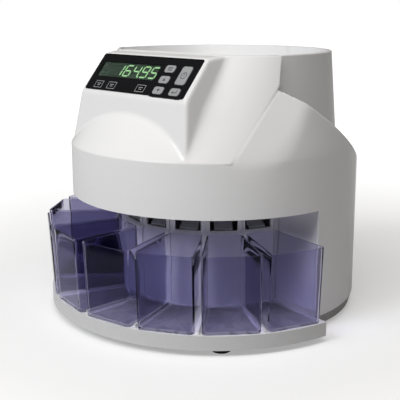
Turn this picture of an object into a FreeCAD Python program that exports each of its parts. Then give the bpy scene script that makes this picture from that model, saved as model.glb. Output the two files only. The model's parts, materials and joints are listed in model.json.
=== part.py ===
"""Table-top coin sorting machine: housing, hopper, sorting disc, console and eight coin bins."""
import FreeCAD
import Part
import math
import os
import Sketcher

# Driving dimensions, in millimetres and degrees. Heights are above the table, radii about the drum axis,
# and a size that ends in _front is a distance ahead of that axis.
SIZES = {
    # Drum, skirt and shoulder of the main housing
    "drum_radius": 151, "wall": 3, "skirt_bottom": 14, "opening_front": 8, "band_bottom": 121,
    "band_top": 173, "rim_height": 266, "shoulder_height": 177, "shoulder_tilt": 21.8,
    "dome_rise": 78, "dome_margin": 0.5, "facet_turn": 59, "facet_lean": 21.7, "facet_distance": 202.8,
    "valley_half_width": 121.5,
    # Sloping visor and the wall round the hopper
    "visor_front": 62, "visor_corner": 48, "visor_back_front": 28, "visor_overlap": 2, "visor_sink": 0.5,
    "visor_split": 32, "tower_top_radius": 119, "tower_bottom_radius": 124, "tower_bottom": 150,
    "tower_setback": 4, "cavity_gap": 1.5,
    # Console block
    "face_top_front": 83.6, "face_top_height": 263.5, "panel_tilt": 50.4, "face_length": 46.5,
    "face_lean": 9.1, "console_bottom": 178, "console_half_width": 79.6, "console_flare": 0.172,
    "console_splay": 0.144, "console_round": 1.8,
    # Control panel, display and keys
    "panel_width": 150, "panel_height": 44, "panel_thickness": 1.6, "panel_proud": 0.3,
    "panel_corner": 2.5, "panel_gap": 0.25, "window_width": 89.8, "window_height": 18.3,
    "window_x": -23.5, "window_y": 3.7, "window_thickness": 1.2, "display_margin": 3,
    "display_depth": 4, "key_play": 0.25, "key_proud": 1.1, "key_corner": 1.6, "key_flange": 0.5,
    "key_flange_thickness": 0.9, "key_travel": 0.5, "key_clearance": 0.3,
    "board_thickness": 1.6, "keypad_x": 48.5, "keypad_y": -3.9, "keypad_width": 43, "keypad_height": 34.6,
    "keypad_post_width": 2, "keypad_post_inset": 1.2, "narrow_key_width": 13.5, "short_key_height": 8,
    "tall_key_height": 20.3, "left_keys_x": 37, "right_keys_x": 60, "mode_key_y": 8.6, "up_key_y": -3.7,
    "down_key_y": -16, "start_key_y": 2.4, "enter_key_y": -16,
    # Base tray and feet
    "tray_radius": 176.5, "tray_half_angle": 82.5, "tray_bottom": 6, "tray_top": 20, "tray_skin": 3,
    "base_lip_radius": 150.5, "base_toe_radius": 143, "base_bottom": 4, "foot_radius": 9,
    "pillar_radius": 3, "foot_boss_radius": 11, "front_foot_circle": 160,
    "front_foot_angle": 48, "rear_foot_circle": 125, "rear_foot_angle": 140, "guide_thickness": 1.6,
    "guide_height": 3.5, "guide_end_gap": 4,
    # Coin bins
    "bin_pitch": 20.4, "bin_half_angle": 9.15, "bin_inner_radius": 104, "bin_outer_radius": 179.5,
    "bin_face_sag": 1.5, "bin_draft": 3.5, "bin_top": 95, "bin_wall": 1.8, "bin_corner": 5,
    # Core wall, deck, chutes and track
    "core_radius": 100, "core_wall": 2.5, "deck_bottom": 121.5, "deck_thickness": 3, "deck_gap": 0.8,
    "outlet_bottom": 97, "groove_width": 3, "groove_depth": 1.2, "coin_play": 3,
    "coin_1": 16.25, "coin_2": 18.75, "coin_3": 19.75, "coin_4": 21.25, "coin_5": 22.25,
    "coin_6": 23.25, "coin_7": 24.25, "coin_8": 25.75, "coin_edge_radius": 90, "chute_thickness": 2,
    "chute_width": 18, "chute_gap": 1, "slot_half_angle": 8.4, "post_circle": 56, "post_radius": 3.5,
    "track_bottom": 138, "track_thickness": 3,
    # Sorting disc, spindle and drive
    "disc_bottom": 142, "disc_thickness": 5, "disc_radius": 93, "pocket_radius": 14.5,
    "pocket_circle": 74, "spindle_radius": 6, "spindle_foot": 112, "running_gap": 0.05,
    "bearing_radius": 10, "bearing_proud": 1.5, "bearing_bottom": 115, "cap_radius": 20, "cap_height": 11,
    "gear_module": 2, "gear_teeth": 45, "pinion_teeth": 15, "pressure_angle": 20, "tooth_play": 0.2,
    "gear_width": 7, "gear_hub_radius": 13, "hub_gap": 1, "pinion_width": 8, "pinion_lift": 0.5,
    "motor_shaft_radius": 3,
    "gearbox_radius": 18, "gearbox_height": 25, "motor_can_radius": 15, "motor_can_height": 32,
    "motor_plate": 46, "motor_plate_thickness": 2, "screw_radius": 1.6, "screw_head_radius": 3,
    "screw_head_height": 2, "screw_spacing": 36,
    # Hopper bowl
    "throat_radius": 95, "hopper_wall": 2.5, "throat_top": 150, "hopper_gap": 0.4, "track_gap": 0.5,
    # Boards and power
    "standoff_height": 6, "main_board_width": 90, "main_board_depth": 60, "main_board_y": 42,
    "supply_width": 92, "supply_depth": 56, "supply_height": 32, "supply_y": -36,
    "recess_plane": 136, "recess_half_width": 58, "recess_bottom": 28, "recess_top": 78,
    "socket_height": 52, "inlet_x": 32, "inlet_width": 27, "inlet_tall": 19.5, "inlet_depth": 22,
    "inlet_cavity": 16, "flange_margin": 2.5, "flange_thickness": 2, "switch_x": 0,
    "rocker_width": 11, "rocker_tall": 17, "rocker_play": 0.9, "rocker_tip": 7, "rocker_pin_radius": 1.25,
    "switch_wall": 1.8, "switch_depth": 15, "port_x": -30, "port_width": 15, "port_tall": 12.5,
    "port_depth": 14, "port_wall": 1.6, "socket_gap": 0.2, "plug_length": 16, "plug_width": 5,
    "plug_height": 6,
    "case_boss_radius": 5, "case_boss_height": 30, "case_boss_angle": 105, "case_boss_rear_angle": 148,
    "case_screw_seat": 5, "case_screw_bite": 12,
}
BIN_COUNT = 8
LEFT = -1
RIGHT = 1

doc = FreeCAD.newDocument("coin_sorter")
sheet = doc.addObject("Spreadsheet::Sheet", "dims")
for row, (alias, number) in enumerate(SIZES.items(), start=1):
    sheet.set(f"A{row}", alias)
    sheet.set(f"B{row}", str(number))
    sheet.setAlias(f"B{row}", alias)
doc.recompute()


class Size:
    """A number together with the sheet expression that yields it."""

    def __init__(self, text, value):
        self.text = text
        self.value = float(value)

    def __add__(self, other):
        return Size(f"({self.text} + {size(other).text})", self.value + size(other).value)

    def __sub__(self, other):
        return Size(f"({self.text} - {size(other).text})", self.value - size(other).value)

    def __mul__(self, other):
        return Size(f"({self.text} * {size(other).text})", self.value * size(other).value)

    def __truediv__(self, other):
        return Size(f"({self.text} / {size(other).text})", self.value / size(other).value)

    def __neg__(self):
        return Size(f"(-1 * {self.text})", -self.value)

    __radd__ = __add__
    __rmul__ = __mul__

    def __rsub__(self, other):
        return size(other) - self


class Dimensions:
    """The sheet's cells, read by name as sizes."""

    def __getattr__(self, name):
        return Size(f"dims.{name}", SIZES[name])


def size(number):
    """Turn a plain number into a size, and leave a size as it is."""
    return number if isinstance(number, Size) else Size(repr(float(number)), number)


def sine(angle):
    return Size(f"sin({size(angle).text})", math.sin(math.radians(size(angle).value)))


def cosine(angle):
    return Size(f"cos({size(angle).text})", math.cos(math.radians(size(angle).value)))


def tangent(angle):
    return Size(f"tan({size(angle).text})", math.tan(math.radians(size(angle).value)))


def arctangent(number):
    return Size(f"atan({size(number).text})", math.degrees(math.atan(size(number).value)))


def root(number):
    return Size(f"sqrt({number.text})", math.sqrt(number.value))


D = Dimensions()
ORIGIN = FreeCAD.Vector(0, 0, 0)
AXIS_X = FreeCAD.Vector(1, 0, 0)
AXIS_Y = FreeCAD.Vector(0, 1, 0)
AXIS_Z = FreeCAD.Vector(0, 0, 1)

# The drum axis stands behind the middle of the machine, because the bins reach further than the skirt.
AXIS_Y_PLACE = (D.bin_outer_radius - D.drum_radius) / 2


def bind(item, **sizes):
    """Bind properties of an object to the sheet; a double underscore stands for a dot."""
    for name, value in sizes.items():
        item.setExpression(name.replace("__", "."), size(value).text)
    return item


def place(item, x=0, y=0, z=0, axis=AXIS_Z, turn=0):
    """Put an object at a point, turned about an axis through that point."""
    item.Placement = FreeCAD.Placement(ORIGIN, FreeCAD.Rotation(axis, 1))
    return bind(item, Placement__Base__x=x, Placement__Base__y=y, Placement__Base__z=z,
                Placement__Rotation__Angle=turn)


def finish(item, label):
    """Name a sub-part and keep it for the export."""
    item.Label = label
    PIECES.append(item)
    return item


def around_axis(item, label):
    """Name a sub-part that was made about the drum axis, and move it there."""
    return finish(bind(item, Placement__Base__y=AXIS_Y_PLACE), label)


PIECES = []


# Solids and booleans
def box(length, width, height, x=0, y=0, z=0, axis=AXIS_Z, turn=0):
    """A box from its lowest corner."""
    item = doc.addObject("Part::Box", "Box")
    bind(item, Length=length, Width=width, Height=height)
    return place(item, x, y, z, axis, turn)


def centred_box(length, width, height, x=0, y=0, z=0):
    """A box centred on x and y that stands on z."""
    return box(length, width, height, x - size(length) / 2, y - size(width) / 2, z)


def cylinder(radius, height, x=0, y=0, z=0, axis=AXIS_Z, turn=0):
    """An upright cylinder that stands on z, or one turned about an axis."""
    item = doc.addObject("Part::Cylinder", "Cylinder")
    bind(item, Radius=radius, Height=height)
    return place(item, x, y, z, axis, turn)


def prism(radius, height, x=0, y=0, z=0, sides=6):
    """An upright bar with a regular outline that stands on z."""
    item = doc.addObject("Part::Prism", "Prism")
    item.Polygon = sides
    bind(item, Circumradius=radius, Height=height)
    return place(item, x, y, z)


def cone(bottom_radius, top_radius, height, x=0, y=0, z=0):
    item = doc.addObject("Part::Cone", "Cone")
    bind(item, Radius1=bottom_radius, Radius2=top_radius, Height=height)
    return place(item, x, y, z)


def fuse(*items):
    item = doc.addObject("Part::MultiFuse", "Fuse")
    item.Shapes = list(items)
    item.Refine = False
    return item


def group(*items):
    item = doc.addObject("Part::Compound", "Group")
    item.Links = list(items)
    return item


def cut(base, *tools):
    """Take each tool away in turn."""
    for tool in tools:
        item = doc.addObject("Part::Cut", "Cut")
        item.Base = base
        item.Tool = tool
        item.Refine = False
        base = item
    return base


def common(first, second):
    item = doc.addObject("Part::MultiCommon", "Common")
    item.Shapes = [first, second]
    return item


# Sketched features
def new_body(label):
    body = doc.addObject("PartDesign::Body", label)
    body.Label = label
    return body


def datum(body, role):
    return next(item for item in body.Origin.OriginFeatures if item.Role == role)


def sketch(body, role, lift=0):
    """A sketch on one of the body's own planes, lifted along that plane's normal."""
    item = body.newObject("Sketcher::SketchObject", "Sketch")
    item.AttachmentSupport = [(datum(body, role), "")]
    item.MapMode = "FlatFace"
    return bind(item, AttachmentOffset__Base__z=lift)


def constrain(item, kind, geometry, point, value):
    """Hold one coordinate of a sketch point, or a radius, to a size."""
    value = size(value)
    if kind == "Radius":
        number = item.addConstraint(Sketcher.Constraint(kind, geometry, value.value))
    else:
        number = item.addConstraint(Sketcher.Constraint(kind, -1, 1, geometry, point, value.value))
    name = f"{kind}_{geometry}_{point}"
    item.renameConstraint(number, name)
    item.setExpression(f"Constraints.{name}", value.text)


def circle(item, radius, x=0, y=0):
    """A full circle in a sketch."""
    middle = FreeCAD.Vector(size(x).value, size(y).value, 0)
    number = item.addGeometry(Part.Circle(middle, AXIS_Z, size(radius).value), False)
    constrain(item, "DistanceX", number, 3, x)
    constrain(item, "DistanceY", number, 3, y)
    constrain(item, "Radius", number, 0, radius)


def outline(item, points, arcs=None):
    """A closed outline; arcs maps the number of a curved edge to its radius and centre."""
    arcs = arcs or {}
    spots = [FreeCAD.Vector(size(x).value, size(y).value, 0) for x, y in points]
    edges = []
    for number, start in enumerate(spots):
        end = spots[(number + 1) % len(spots)]
        if number not in arcs:
            edges.append((item.addGeometry(Part.LineSegment(start, end), False), 1, 2))
            continue
        radius, (centre_x, centre_y) = arcs[number]
        middle = FreeCAD.Vector(size(centre_x).value, size(centre_y).value, 0)
        first = math.atan2(start.y - middle.y, start.x - middle.x)
        last = math.atan2(end.y - middle.y, end.x - middle.x)
        turn = (last - first + math.pi) % (2 * math.pi) - math.pi
        round_edge = Part.Circle(middle, AXIS_Z, size(radius).value)
        low, high = (first, first + turn) if turn > 0 else (last, last - turn)
        ends = (1, 2) if turn > 0 else (2, 1)
        edges.append((item.addGeometry(Part.ArcOfCircle(round_edge, low, high), False), *ends))
    for number, (edge, start, end) in enumerate(edges):
        following, following_start, _ = edges[(number + 1) % len(edges)]
        item.addConstraint(Sketcher.Constraint("Coincident", edge, end, following, following_start))
        constrain(item, "DistanceX", edge, start, points[number][0])
        constrain(item, "DistanceY", edge, start, points[number][1])
        if number in arcs:
            constrain(item, "Radius", edge, 0, arcs[number][0])


def rounded_rectangle(item, width, height, corner, x=0, y=0):
    """A rectangle with round corners, centred on x and y."""
    half_w, half_h, corner = size(width) / 2, size(height) / 2, size(corner)
    points, arcs = [], {}
    for sign_x, sign_y, along_x in ((1, -1, True), (1, 1, False), (-1, 1, True), (-1, -1, False)):
        tip_x, tip_y = x + half_w * sign_x, y + half_h * sign_y
        inner_x, inner_y = tip_x - corner * sign_x, tip_y - corner * sign_y
        ends = [(inner_x, tip_y), (tip_x, inner_y)]
        arcs[len(points)] = (corner, (inner_x, inner_y))
        points.extend(ends if along_x else ends[::-1])
    outline(item, points, arcs)


def rectangle(item, width, height, x=0, y=0, corner=0):
    """A rectangle centred on x and y, with its corners cut off where a corner size is given."""
    half_w, half_h = size(width) / 2, size(height) / 2
    points = []
    for sign_x, sign_y, along_x in ((1, -1, True), (1, 1, False), (-1, 1, True), (-1, -1, False)):
        tip_x, tip_y = x + half_w * sign_x, y + half_h * sign_y
        ends = [(tip_x - size(corner) * sign_x, tip_y), (tip_x, tip_y - size(corner) * sign_y)]
        points.extend((ends if along_x else ends[::-1]) if corner else [(tip_x, tip_y)])
    outline(item, points)


def pad(body, profile, length, midplane=False, reverse=False):
    item = body.newObject("PartDesign::Pad", "Pad")
    item.Profile = profile
    item.SideType = "Symmetric" if midplane else "One side"
    item.Reversed = reverse
    return bind(item, Length=length)


def pocket(body, profile, length, midplane=False):
    item = body.newObject("PartDesign::Pocket", "Pocket")
    item.Profile = profile
    item.SideType = "Symmetric" if midplane else "One side"
    return bind(item, Length=length)


def loft(body, lower, upper):
    item = body.newObject("PartDesign::AdditiveLoft", "Loft")
    item.Profile = lower
    item.Sections = [upper]
    item.Ruled = True
    return item


def dress(body, base, kind, edges, **sizes):
    """Fillet or chamfer the chosen edges of a feature."""
    doc.recompute()
    item = body.newObject("PartDesign::" + kind, kind)
    names = [f"Edge{n}" for n, edge in enumerate(base.Shape.Edges, start=1) if edges(edge)]
    item.Base = (base, names)
    return bind(item, **sizes)


def aim(angle, radius):
    """The point at a radius, at an angle from the front towards the right."""
    return sine(angle) * radius, -(cosine(angle) * radius)


def radial_box(inner_radius, length, width, height, angle, z):
    """A box that starts at a radius and points away from the drum axis."""
    along_x, along_y = aim(angle, size(inner_radius))
    side_x, side_y = aim(size(angle) - 90, size(width) / 2)
    return box(length, width, height, along_x + side_x, along_y + side_y, z, turn=size(angle) - 90)


def sector(radius, height, half_angle, z=0, angle=0):
    """A slice of a cylinder, centred on an angle from the front."""
    item = cylinder(radius, height, z=z, turn=size(angle) - 90 - half_angle)
    return bind(item, Angle=size(half_angle) * 2)


def ring_sector(inner_radius, outer_radius, height, half_angle, z, angle):
    """A slice of a ring."""
    return cut(sector(outer_radius, height, half_angle, z, angle), cylinder(inner_radius, height, z=z))


# Main housing: four outer forms, and plainer spaces inside them
REACH = D.drum_radius * 3
FACE_BOTTOM_FRONT = D.face_top_front + cosine(D.panel_tilt) * D.face_length
FACE_BOTTOM_HEIGHT = D.face_top_height - sine(D.panel_tilt) * D.face_length


def facet_tool(side):
    """A block whose underside is one of the two flat facets beside the visor."""
    turn, lean = math.radians(SIZES["facet_turn"]), math.radians(SIZES["facet_lean"])
    normal = FreeCAD.Vector(side * math.sin(turn) * math.cos(lean), -math.cos(turn) * math.cos(lean),
                            math.sin(lean))
    item = doc.addObject("Part::Box", "Facet")
    bind(item, Length=REACH, Width=REACH, Height=REACH)
    spin = FreeCAD.Rotation(AXIS_Z, normal)
    middle = spin.multVec(FreeCAD.Vector(REACH.value / 2, REACH.value / 2, 0))
    item.Placement = FreeCAD.Placement(normal * SIZES["facet_distance"] - middle, spin)
    return item


def dome():
    """A flattened ball, sheared so that it leans back and lies against the drum's wall all round."""
    wide = D.drum_radius + D.dome_margin
    slope = tangent(D.shoulder_tilt)
    rise = D.dome_rise
    half = (wide * wide * (slope * slope + 1) + rise * rise) / 2
    swing = root(half * half - wide * wide * rise * rise)
    lean = arctangent(wide * wide * slope * 2 / (wide * wide * (1 - slope * slope) - rise * rise)) / 2
    item = doc.addObject("Part::Ellipsoid", "Dome")
    bind(item, Radius1=root(half - swing), Radius2=wide, Radius3=root(half + swing))
    return place(item, 0, 0, D.shoulder_height, AXIS_X, -lean)


def shoulder():
    """The drum with its leaning round top, trimmed by the facets and cleared for the visor."""
    drum = cylinder(D.drum_radius, D.rim_height, z=D.skirt_bottom)
    above = box(REACH * 2, REACH * 2, REACH * 3, -REACH, -(cosine(D.shoulder_tilt) * REACH),
                D.shoulder_height + sine(D.shoulder_tilt) * REACH, axis=AXIS_X, turn=-D.shoulder_tilt)
    rounded = cut(drum, cut(above, dome()))
    clearing = box(D.valley_half_width * 2, REACH, REACH * 2, -D.valley_half_width,
                   -(D.visor_back_front + D.visor_overlap + REACH), D.band_top)
    return cut(rounded, clearing, facet_tool(LEFT), facet_tool(RIGHT))


def mouth_spots(inset):
    """Corner centres and ends of the hopper mouth: a circle at the back, a rounded flat at the front."""
    back = D.visor_back_front
    corner = D.visor_corner - inset
    flat = D.visor_front - inset
    tower = D.tower_top_radius - inset
    rise = back - (flat - corner)
    side = root(tower * tower - (back + D.tower_setback) * (back + D.tower_setback))
    centre_x = side - root(corner * corner - rise * rise)
    return back, corner, flat, tower, side, centre_x


def mouth_outline(item, inset):
    """The outline of the hopper mouth."""
    back, corner, flat, tower, side, centre_x = mouth_spots(inset)
    centre_y = corner - flat
    setback = D.tower_setback
    points = [(side, -back), (0, tower + setback), (-side, -back), (-centre_x, -flat), (centre_x, -flat)]
    outline(item, points, {0: (tower, (0, setback)), 1: (tower, (0, setback)),
                           2: (corner, (-centre_x, centre_y)), 4: (corner, (centre_x, centre_y))})


def visor():
    """The slope from the band up to the flat front of the hopper mouth."""
    body = new_body("visor")
    radius = D.drum_radius
    back, corner, flat, _, side, centre_x = mouth_spots(NO_INSET)
    half_back = root(radius * radius - back * back)
    split_x, split_y = aim(D.visor_split, radius)
    lower = sketch(body, "XY_Plane", D.band_top - D.visor_sink)
    outline(lower, [(-half_back, -back), (-split_x, split_y), (split_x, split_y), (half_back, -back)],
            {number: (radius, (0, 0)) for number in range(3)})
    upper = sketch(body, "XY_Plane", D.rim_height)
    outline(upper, [(-side, -back), (-centre_x, -flat), (centre_x, -flat), (side, -back)],
            {0: (corner, (-centre_x, corner - flat)), 2: (corner, (centre_x, corner - flat))})
    loft(body, lower, upper)
    return body


def tower():
    """The bare wall round the back and sides of the hopper."""
    wall = cone(D.tower_bottom_radius, D.tower_top_radius, D.rim_height - D.tower_bottom, y=D.tower_setback,
                z=D.tower_bottom)
    rear = box(REACH, REACH, REACH, -(REACH / 2), -(D.visor_back_front + D.visor_overlap / 2))
    return common(wall, rear)


def console(inset):
    """The block that carries the control panel: splayed sides, a sloping face and a leaning front."""
    body = new_body("console")
    back = D.visor_back_front
    front = D.drum_radius
    half = D.console_half_width - inset
    sections = []
    for distance in (back, front):
        section = sketch(body, "XZ_Plane", distance)
        splay = half + D.console_splay * (FACE_BOTTOM_FRONT - distance)
        low = splay + D.console_flare * (FACE_BOTTOM_HEIGHT - D.console_bottom)
        high = splay + D.console_flare * (FACE_BOTTOM_HEIGHT - D.rim_height)
        outline(section, [(-low, D.console_bottom), (low, D.console_bottom), (high, D.rim_height),
                          (-high, D.rim_height)])
        sections.append(section)
    loft(body, *sections)
    middle = (90 - D.panel_tilt + D.face_lean) / 2
    spread = (90 - D.panel_tilt - D.face_lean) / 2
    bend_front = FACE_BOTTOM_FRONT - cosine(middle) / cosine(spread) * inset
    bend_height = FACE_BOTTOM_HEIGHT - sine(middle) / cosine(spread) * inset
    toe_front = bend_front + tangent(D.face_lean) * (bend_height - D.console_bottom)
    peak_front = D.face_top_front - tangent(D.panel_tilt / 2) * inset
    profile = sketch(body, "YZ_Plane")
    outline(profile, [(-back, D.rim_height - inset), (-D.visor_front, D.rim_height - inset),
                      (-peak_front, D.face_top_height - inset), (-bend_front, bend_height),
                      (-toe_front, D.console_bottom), (-front, D.console_bottom),
                      (-front, D.rim_height + front), (-back, D.rim_height + front)])
    shaped = pocket(body, profile, REACH, midplane=True)
    if inset is NO_INSET:
        low, reach = SIZES["console_bottom"], SIZES["face_top_front"]
        dress(body, shaped, "Chamfer", lambda edge: edge.CenterOfMass.z > low + 1
              and -edge.CenterOfMass.y > reach - 1, Size=D.console_round)
    return body


NO_INSET = 0
DECK_TOP = D.deck_bottom + D.deck_thickness
CAVITY_TOP = DECK_TOP + D.cavity_gap


def housing_hollows():
    """The spaces inside: round the drive, under the visor, behind the panel and for the hopper."""
    inside = D.drum_radius - D.wall
    ceiling = D.band_top - D.wall
    front = box(REACH, REACH, REACH, -(REACH / 2), -(REACH + D.visor_back_front))
    slope = cone(inside - D.wall, D.visor_front - D.wall, D.rim_height - D.wall - ceiling, z=ceiling)
    under_visor = common(fuse(cylinder(inside, ceiling), slope), front)
    mouth = new_body("mouth")
    edge = sketch(mouth, "XY_Plane", D.deck_bottom)
    mouth_outline(edge, D.wall)
    pad(mouth, edge, D.rim_height)
    return cylinder(inside, CAVITY_TOP), under_visor, mouth, console(D.wall)


def panel_place(item):
    """Lay a piece that was made flat on the sloping face of the console."""
    half = D.face_length / 2
    front = D.face_top_front + cosine(D.panel_tilt) * half
    return place(item, 0, AXIS_Y_PLACE - front, D.face_top_height - sine(D.panel_tilt) * half, AXIS_X,
                 D.panel_tilt)


PANEL_BACK = D.panel_proud - D.panel_thickness


def panel_seat():
    """The recess for the panel, with openings behind the display and the keys."""
    deep = D.wall * 4
    gap = D.panel_gap * 2
    seat = centred_box(D.panel_width + gap, D.panel_height + gap, deep, 0, 0, PANEL_BACK)
    around = D.display_margin * 2 + gap
    display = centred_box(D.window_width + around, D.window_height + around, deep * 2, D.window_x, D.window_y,
                          -deep)
    keypad = centred_box(D.keypad_width + gap, D.keypad_height + gap, deep * 2, D.keypad_x, D.keypad_y, -deep)
    return panel_place(fuse(seat, display, keypad))


def case_boss_places():
    circle_radius = D.drum_radius - D.wall - D.case_boss_radius + 1
    angles = (D.case_boss_angle, D.case_boss_rear_angle, -D.case_boss_angle, -D.case_boss_rear_angle)
    return [aim(angle, circle_radius) for angle in angles]


def socket_sizes():
    """Place, width and height of the three openings in the rear panel."""
    switch_width = D.rocker_width + D.socket_gap * 2 + D.switch_wall * 2
    switch_tall = D.rocker_tall + D.rocker_play * 2 + D.switch_wall * 2
    return {"inlet": (D.inlet_x, D.inlet_width, D.inlet_tall),
            "switch": (D.switch_x, switch_width, switch_tall),
            "port": (D.port_x, D.port_width, D.port_tall)}


def rear_box(x, width, tall, depth, face):
    """A box with its outer end at a distance behind the drum axis, centred on the sockets' height."""
    return box(width, depth, tall, x - size(width) / 2, size(face) - depth,
               D.socket_height - size(tall) / 2)


def main_housing():
    """The one-piece white case: drum band, rear skirt, visor, shoulder, hopper wall and console."""
    bay = box(REACH, REACH, D.band_bottom, -(REACH / 2), -(REACH + D.opening_front))
    shell = shoulder()
    for form in (tower(), visor(), console(NO_INSET)):
        shell = fuse(shell, form)
    shell = cut(shell, *housing_hollows(), bay)
    inside = D.drum_radius - D.wall / 2
    half = D.recess_half_width + D.wall
    back_block = box(half * 2, REACH, D.recess_top - D.recess_bottom + D.wall * 2, -half,
                     D.recess_plane - D.wall, D.recess_bottom - D.wall)
    back_wall = common(back_block, cylinder(inside, D.band_bottom))
    sheet_wall = box(REACH, D.wall, D.band_bottom - D.tray_top, -(REACH / 2), -D.opening_front, D.tray_top)
    returns = cut(common(sheet_wall, cylinder(inside, D.band_bottom)),
                  cylinder(D.core_radius + D.deck_gap, D.band_bottom))
    bosses = [prism(D.case_boss_radius, D.case_boss_height, x, y, D.tray_top) for x, y in case_boss_places()]
    bores = [prism(D.screw_radius, D.case_screw_bite, x, y, D.tray_top) for x, y in case_boss_places()]
    recess = box(D.recess_half_width * 2, REACH, D.recess_top - D.recess_bottom, -D.recess_half_width,
                 D.recess_plane, D.recess_bottom)
    gap = D.socket_gap * 2
    sockets = [rear_box(x, width + gap, tall + gap, D.wall * 3, D.recess_plane + D.wall)
               for x, width, tall in socket_sizes().values()]
    case = cut(fuse(shell, back_wall, returns, *bosses), recess, group(*bores, *sockets))
    moved = bind(case, Placement__Base__y=AXIS_Y_PLACE)
    around = cut(moved, panel_seat())
    finish(around, "main_housing")


# Base tray, feet and core
COINS = [getattr(D, f"coin_{number}") for number in range(1, BIN_COUNT + 1)]


def bin_angle(number):
    """The direction of a bin, numbered from the left, from the front."""
    return D.bin_pitch * (number - (BIN_COUNT + 1) / 2)


def foot_places():
    front, rear = D.front_foot_angle, D.rear_foot_angle
    return [aim(angle, circle_radius) for angle, circle_radius in (
        (front, D.front_foot_circle), (-front, D.front_foot_circle),
        (rear, D.rear_foot_circle), (-rear, D.rear_foot_circle))]


def board_corners():
    inset = D.pillar_radius * 2
    half_w, half_d = D.main_board_width / 2 - inset, D.main_board_depth / 2 - inset
    return [(half_w * sx, D.main_board_y + half_d * sy) for sx in (LEFT, RIGHT) for sy in (LEFT, RIGHT)]


def base_tray():
    """The tray under the bins and the sole under the drum, hollow below, with guides between the bins."""
    ceiling = D.tray_top - D.tray_skin
    front = sector(D.tray_radius, D.tray_top - D.tray_bottom, D.tray_half_angle, D.tray_bottom)
    sole = cone(D.base_toe_radius, D.base_lip_radius, D.skirt_bottom - D.base_bottom, z=D.base_bottom)
    riser = cylinder(D.drum_radius - D.wall - D.deck_gap, D.tray_top - D.skirt_bottom, z=D.skirt_bottom)
    solid = fuse(front, sole, riser)
    under = cylinder(D.base_toe_radius - D.tray_skin, ceiling)
    under_front = sector(D.tray_radius - D.tray_skin, ceiling, D.tray_half_angle - 2)
    hollow = cut(solid, under, under_front)
    bosses = [prism(D.foot_boss_radius, ceiling - D.tray_bottom + D.tray_skin / 2, x, y, D.tray_bottom)
              for x, y in foot_places()]
    guide_start = D.bin_inner_radius + D.guide_end_gap
    root_height = D.tray_top - D.tray_skin / 2
    guides = [radial_box(guide_start, D.tray_radius - guide_start - D.guide_end_gap, D.guide_thickness,
                         D.guide_height + D.tray_skin / 2, bin_angle(number + 0.5), root_height)
              for number in range(1, BIN_COUNT)]
    pillars = [prism(D.pillar_radius, D.standoff_height + D.tray_skin / 2, x, y, root_height)
               for x, y in board_corners()]
    seat = D.tray_top - D.case_screw_seat
    counterbores = [prism(D.screw_head_radius, seat, x, y) for x, y in case_boss_places()]
    bores = [prism(D.screw_radius, D.tray_top, x, y) for x, y in case_boss_places()]
    ribbed = fuse(hollow, *bosses, *guides, *pillars)
    around_axis(cut(ribbed, group(*counterbores), group(*bores)), "base_tray")


def rubber_feet():
    """Four rubber pads under the bosses of the base."""
    feet = [cylinder(D.foot_radius, D.tray_bottom, x, y) for x, y in foot_places()]
    around_axis(group(*feet), "rubber_feet")


def screw(x, y, seat, length, upward):
    """A hexagon screw; its head lies below the seat when it points upward."""
    head_foot = seat - D.screw_head_height if upward else seat
    head = prism(D.screw_head_radius, D.screw_head_height, x, y, head_foot)
    shank = prism(D.screw_radius, length, x, y, seat if upward else seat - length)
    return fuse(head, shank)


def case_screws():
    """Screws that hold the base under the housing."""
    length = D.case_screw_seat + D.case_screw_bite
    screws = [screw(x, y, D.tray_top - D.case_screw_seat, length, True) for x, y in case_boss_places()]
    around_axis(group(*screws), "case_screws")


def inner_wall():
    """The core behind the bins, with an outlet for each coin and shallow grooves between the panels."""
    height = D.deck_bottom - D.tray_top
    tube = cut(cylinder(D.core_radius, height, z=D.tray_top),
               cylinder(D.core_radius - D.core_wall, height, z=D.tray_top))
    outlets = [radial_box(D.core_radius - D.core_wall * 3, D.core_wall * 4, coin + D.coin_play,
                          D.deck_bottom - D.outlet_bottom, bin_angle(number), D.outlet_bottom)
               for number, coin in enumerate(COINS, start=1)]
    grooves = [radial_box(D.core_radius - D.groove_depth, D.core_wall, D.groove_width, height,
                          bin_angle(number + 0.5), D.tray_top) for number in range(BIN_COUNT + 1)]
    around_axis(cut(tube, group(*outlets, *grooves)), "inner_wall")


# Coin bins
BIN_FACE = D.bin_outer_radius - D.bin_face_sag


def bin_outline(item, inset):
    """A wedge with cut corners, its sides an inset inside two radial planes, run on past the front."""
    slope, corner = tangent(D.bin_half_angle), D.bin_corner - inset
    rear, front = D.bin_inner_radius + inset, BIN_FACE - inset
    setback = size(inset) / cosine(D.bin_half_angle)
    side_front, side_rear = front * slope - setback, rear * slope - setback
    right = [(side_rear - corner, -rear), (side_rear + corner * slope, -(rear + corner)),
             (side_front - corner * slope, -(front - corner)),
             (side_front - corner * 2 + corner * slope, -(front + corner))]
    outline(item, [(-x, y) for x, y in right[::-1]] + right)


def bin_block(label, inset):
    """A block with a leaning front and cut upright corners: the cup at no inset, its hollow otherwise."""
    wedge = new_body(label)
    plan = sketch(wedge, "XY_Plane", D.tray_top + inset)
    bin_outline(plan, inset)
    pad(wedge, plan, D.bin_top - D.tray_top - inset)
    slab = new_body(label + "_front")
    section = sketch(slab, "YZ_Plane")
    face, over = BIN_FACE - inset, D.bin_corner
    lean = D.bin_draft / (D.bin_top - D.tray_top) * over
    outline(section, [(0, D.tray_top - over), (0, D.bin_top + over), (-(face + lean), D.bin_top + over),
                      (-(face - D.bin_draft - lean), D.tray_top - over)])
    pad(slab, section, D.bin_outer_radius, midplane=True)
    return common(wedge, slab)


def coin_bin(number):
    """An open see-through cup."""
    cup = cut(bin_block("cup", NO_INSET), bin_block("hollow", D.bin_wall))
    place(cup, 0, AXIS_Y_PLACE, 0, AXIS_Z, bin_angle(number))
    finish(cup, f"coin_bin_{number}")


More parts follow.
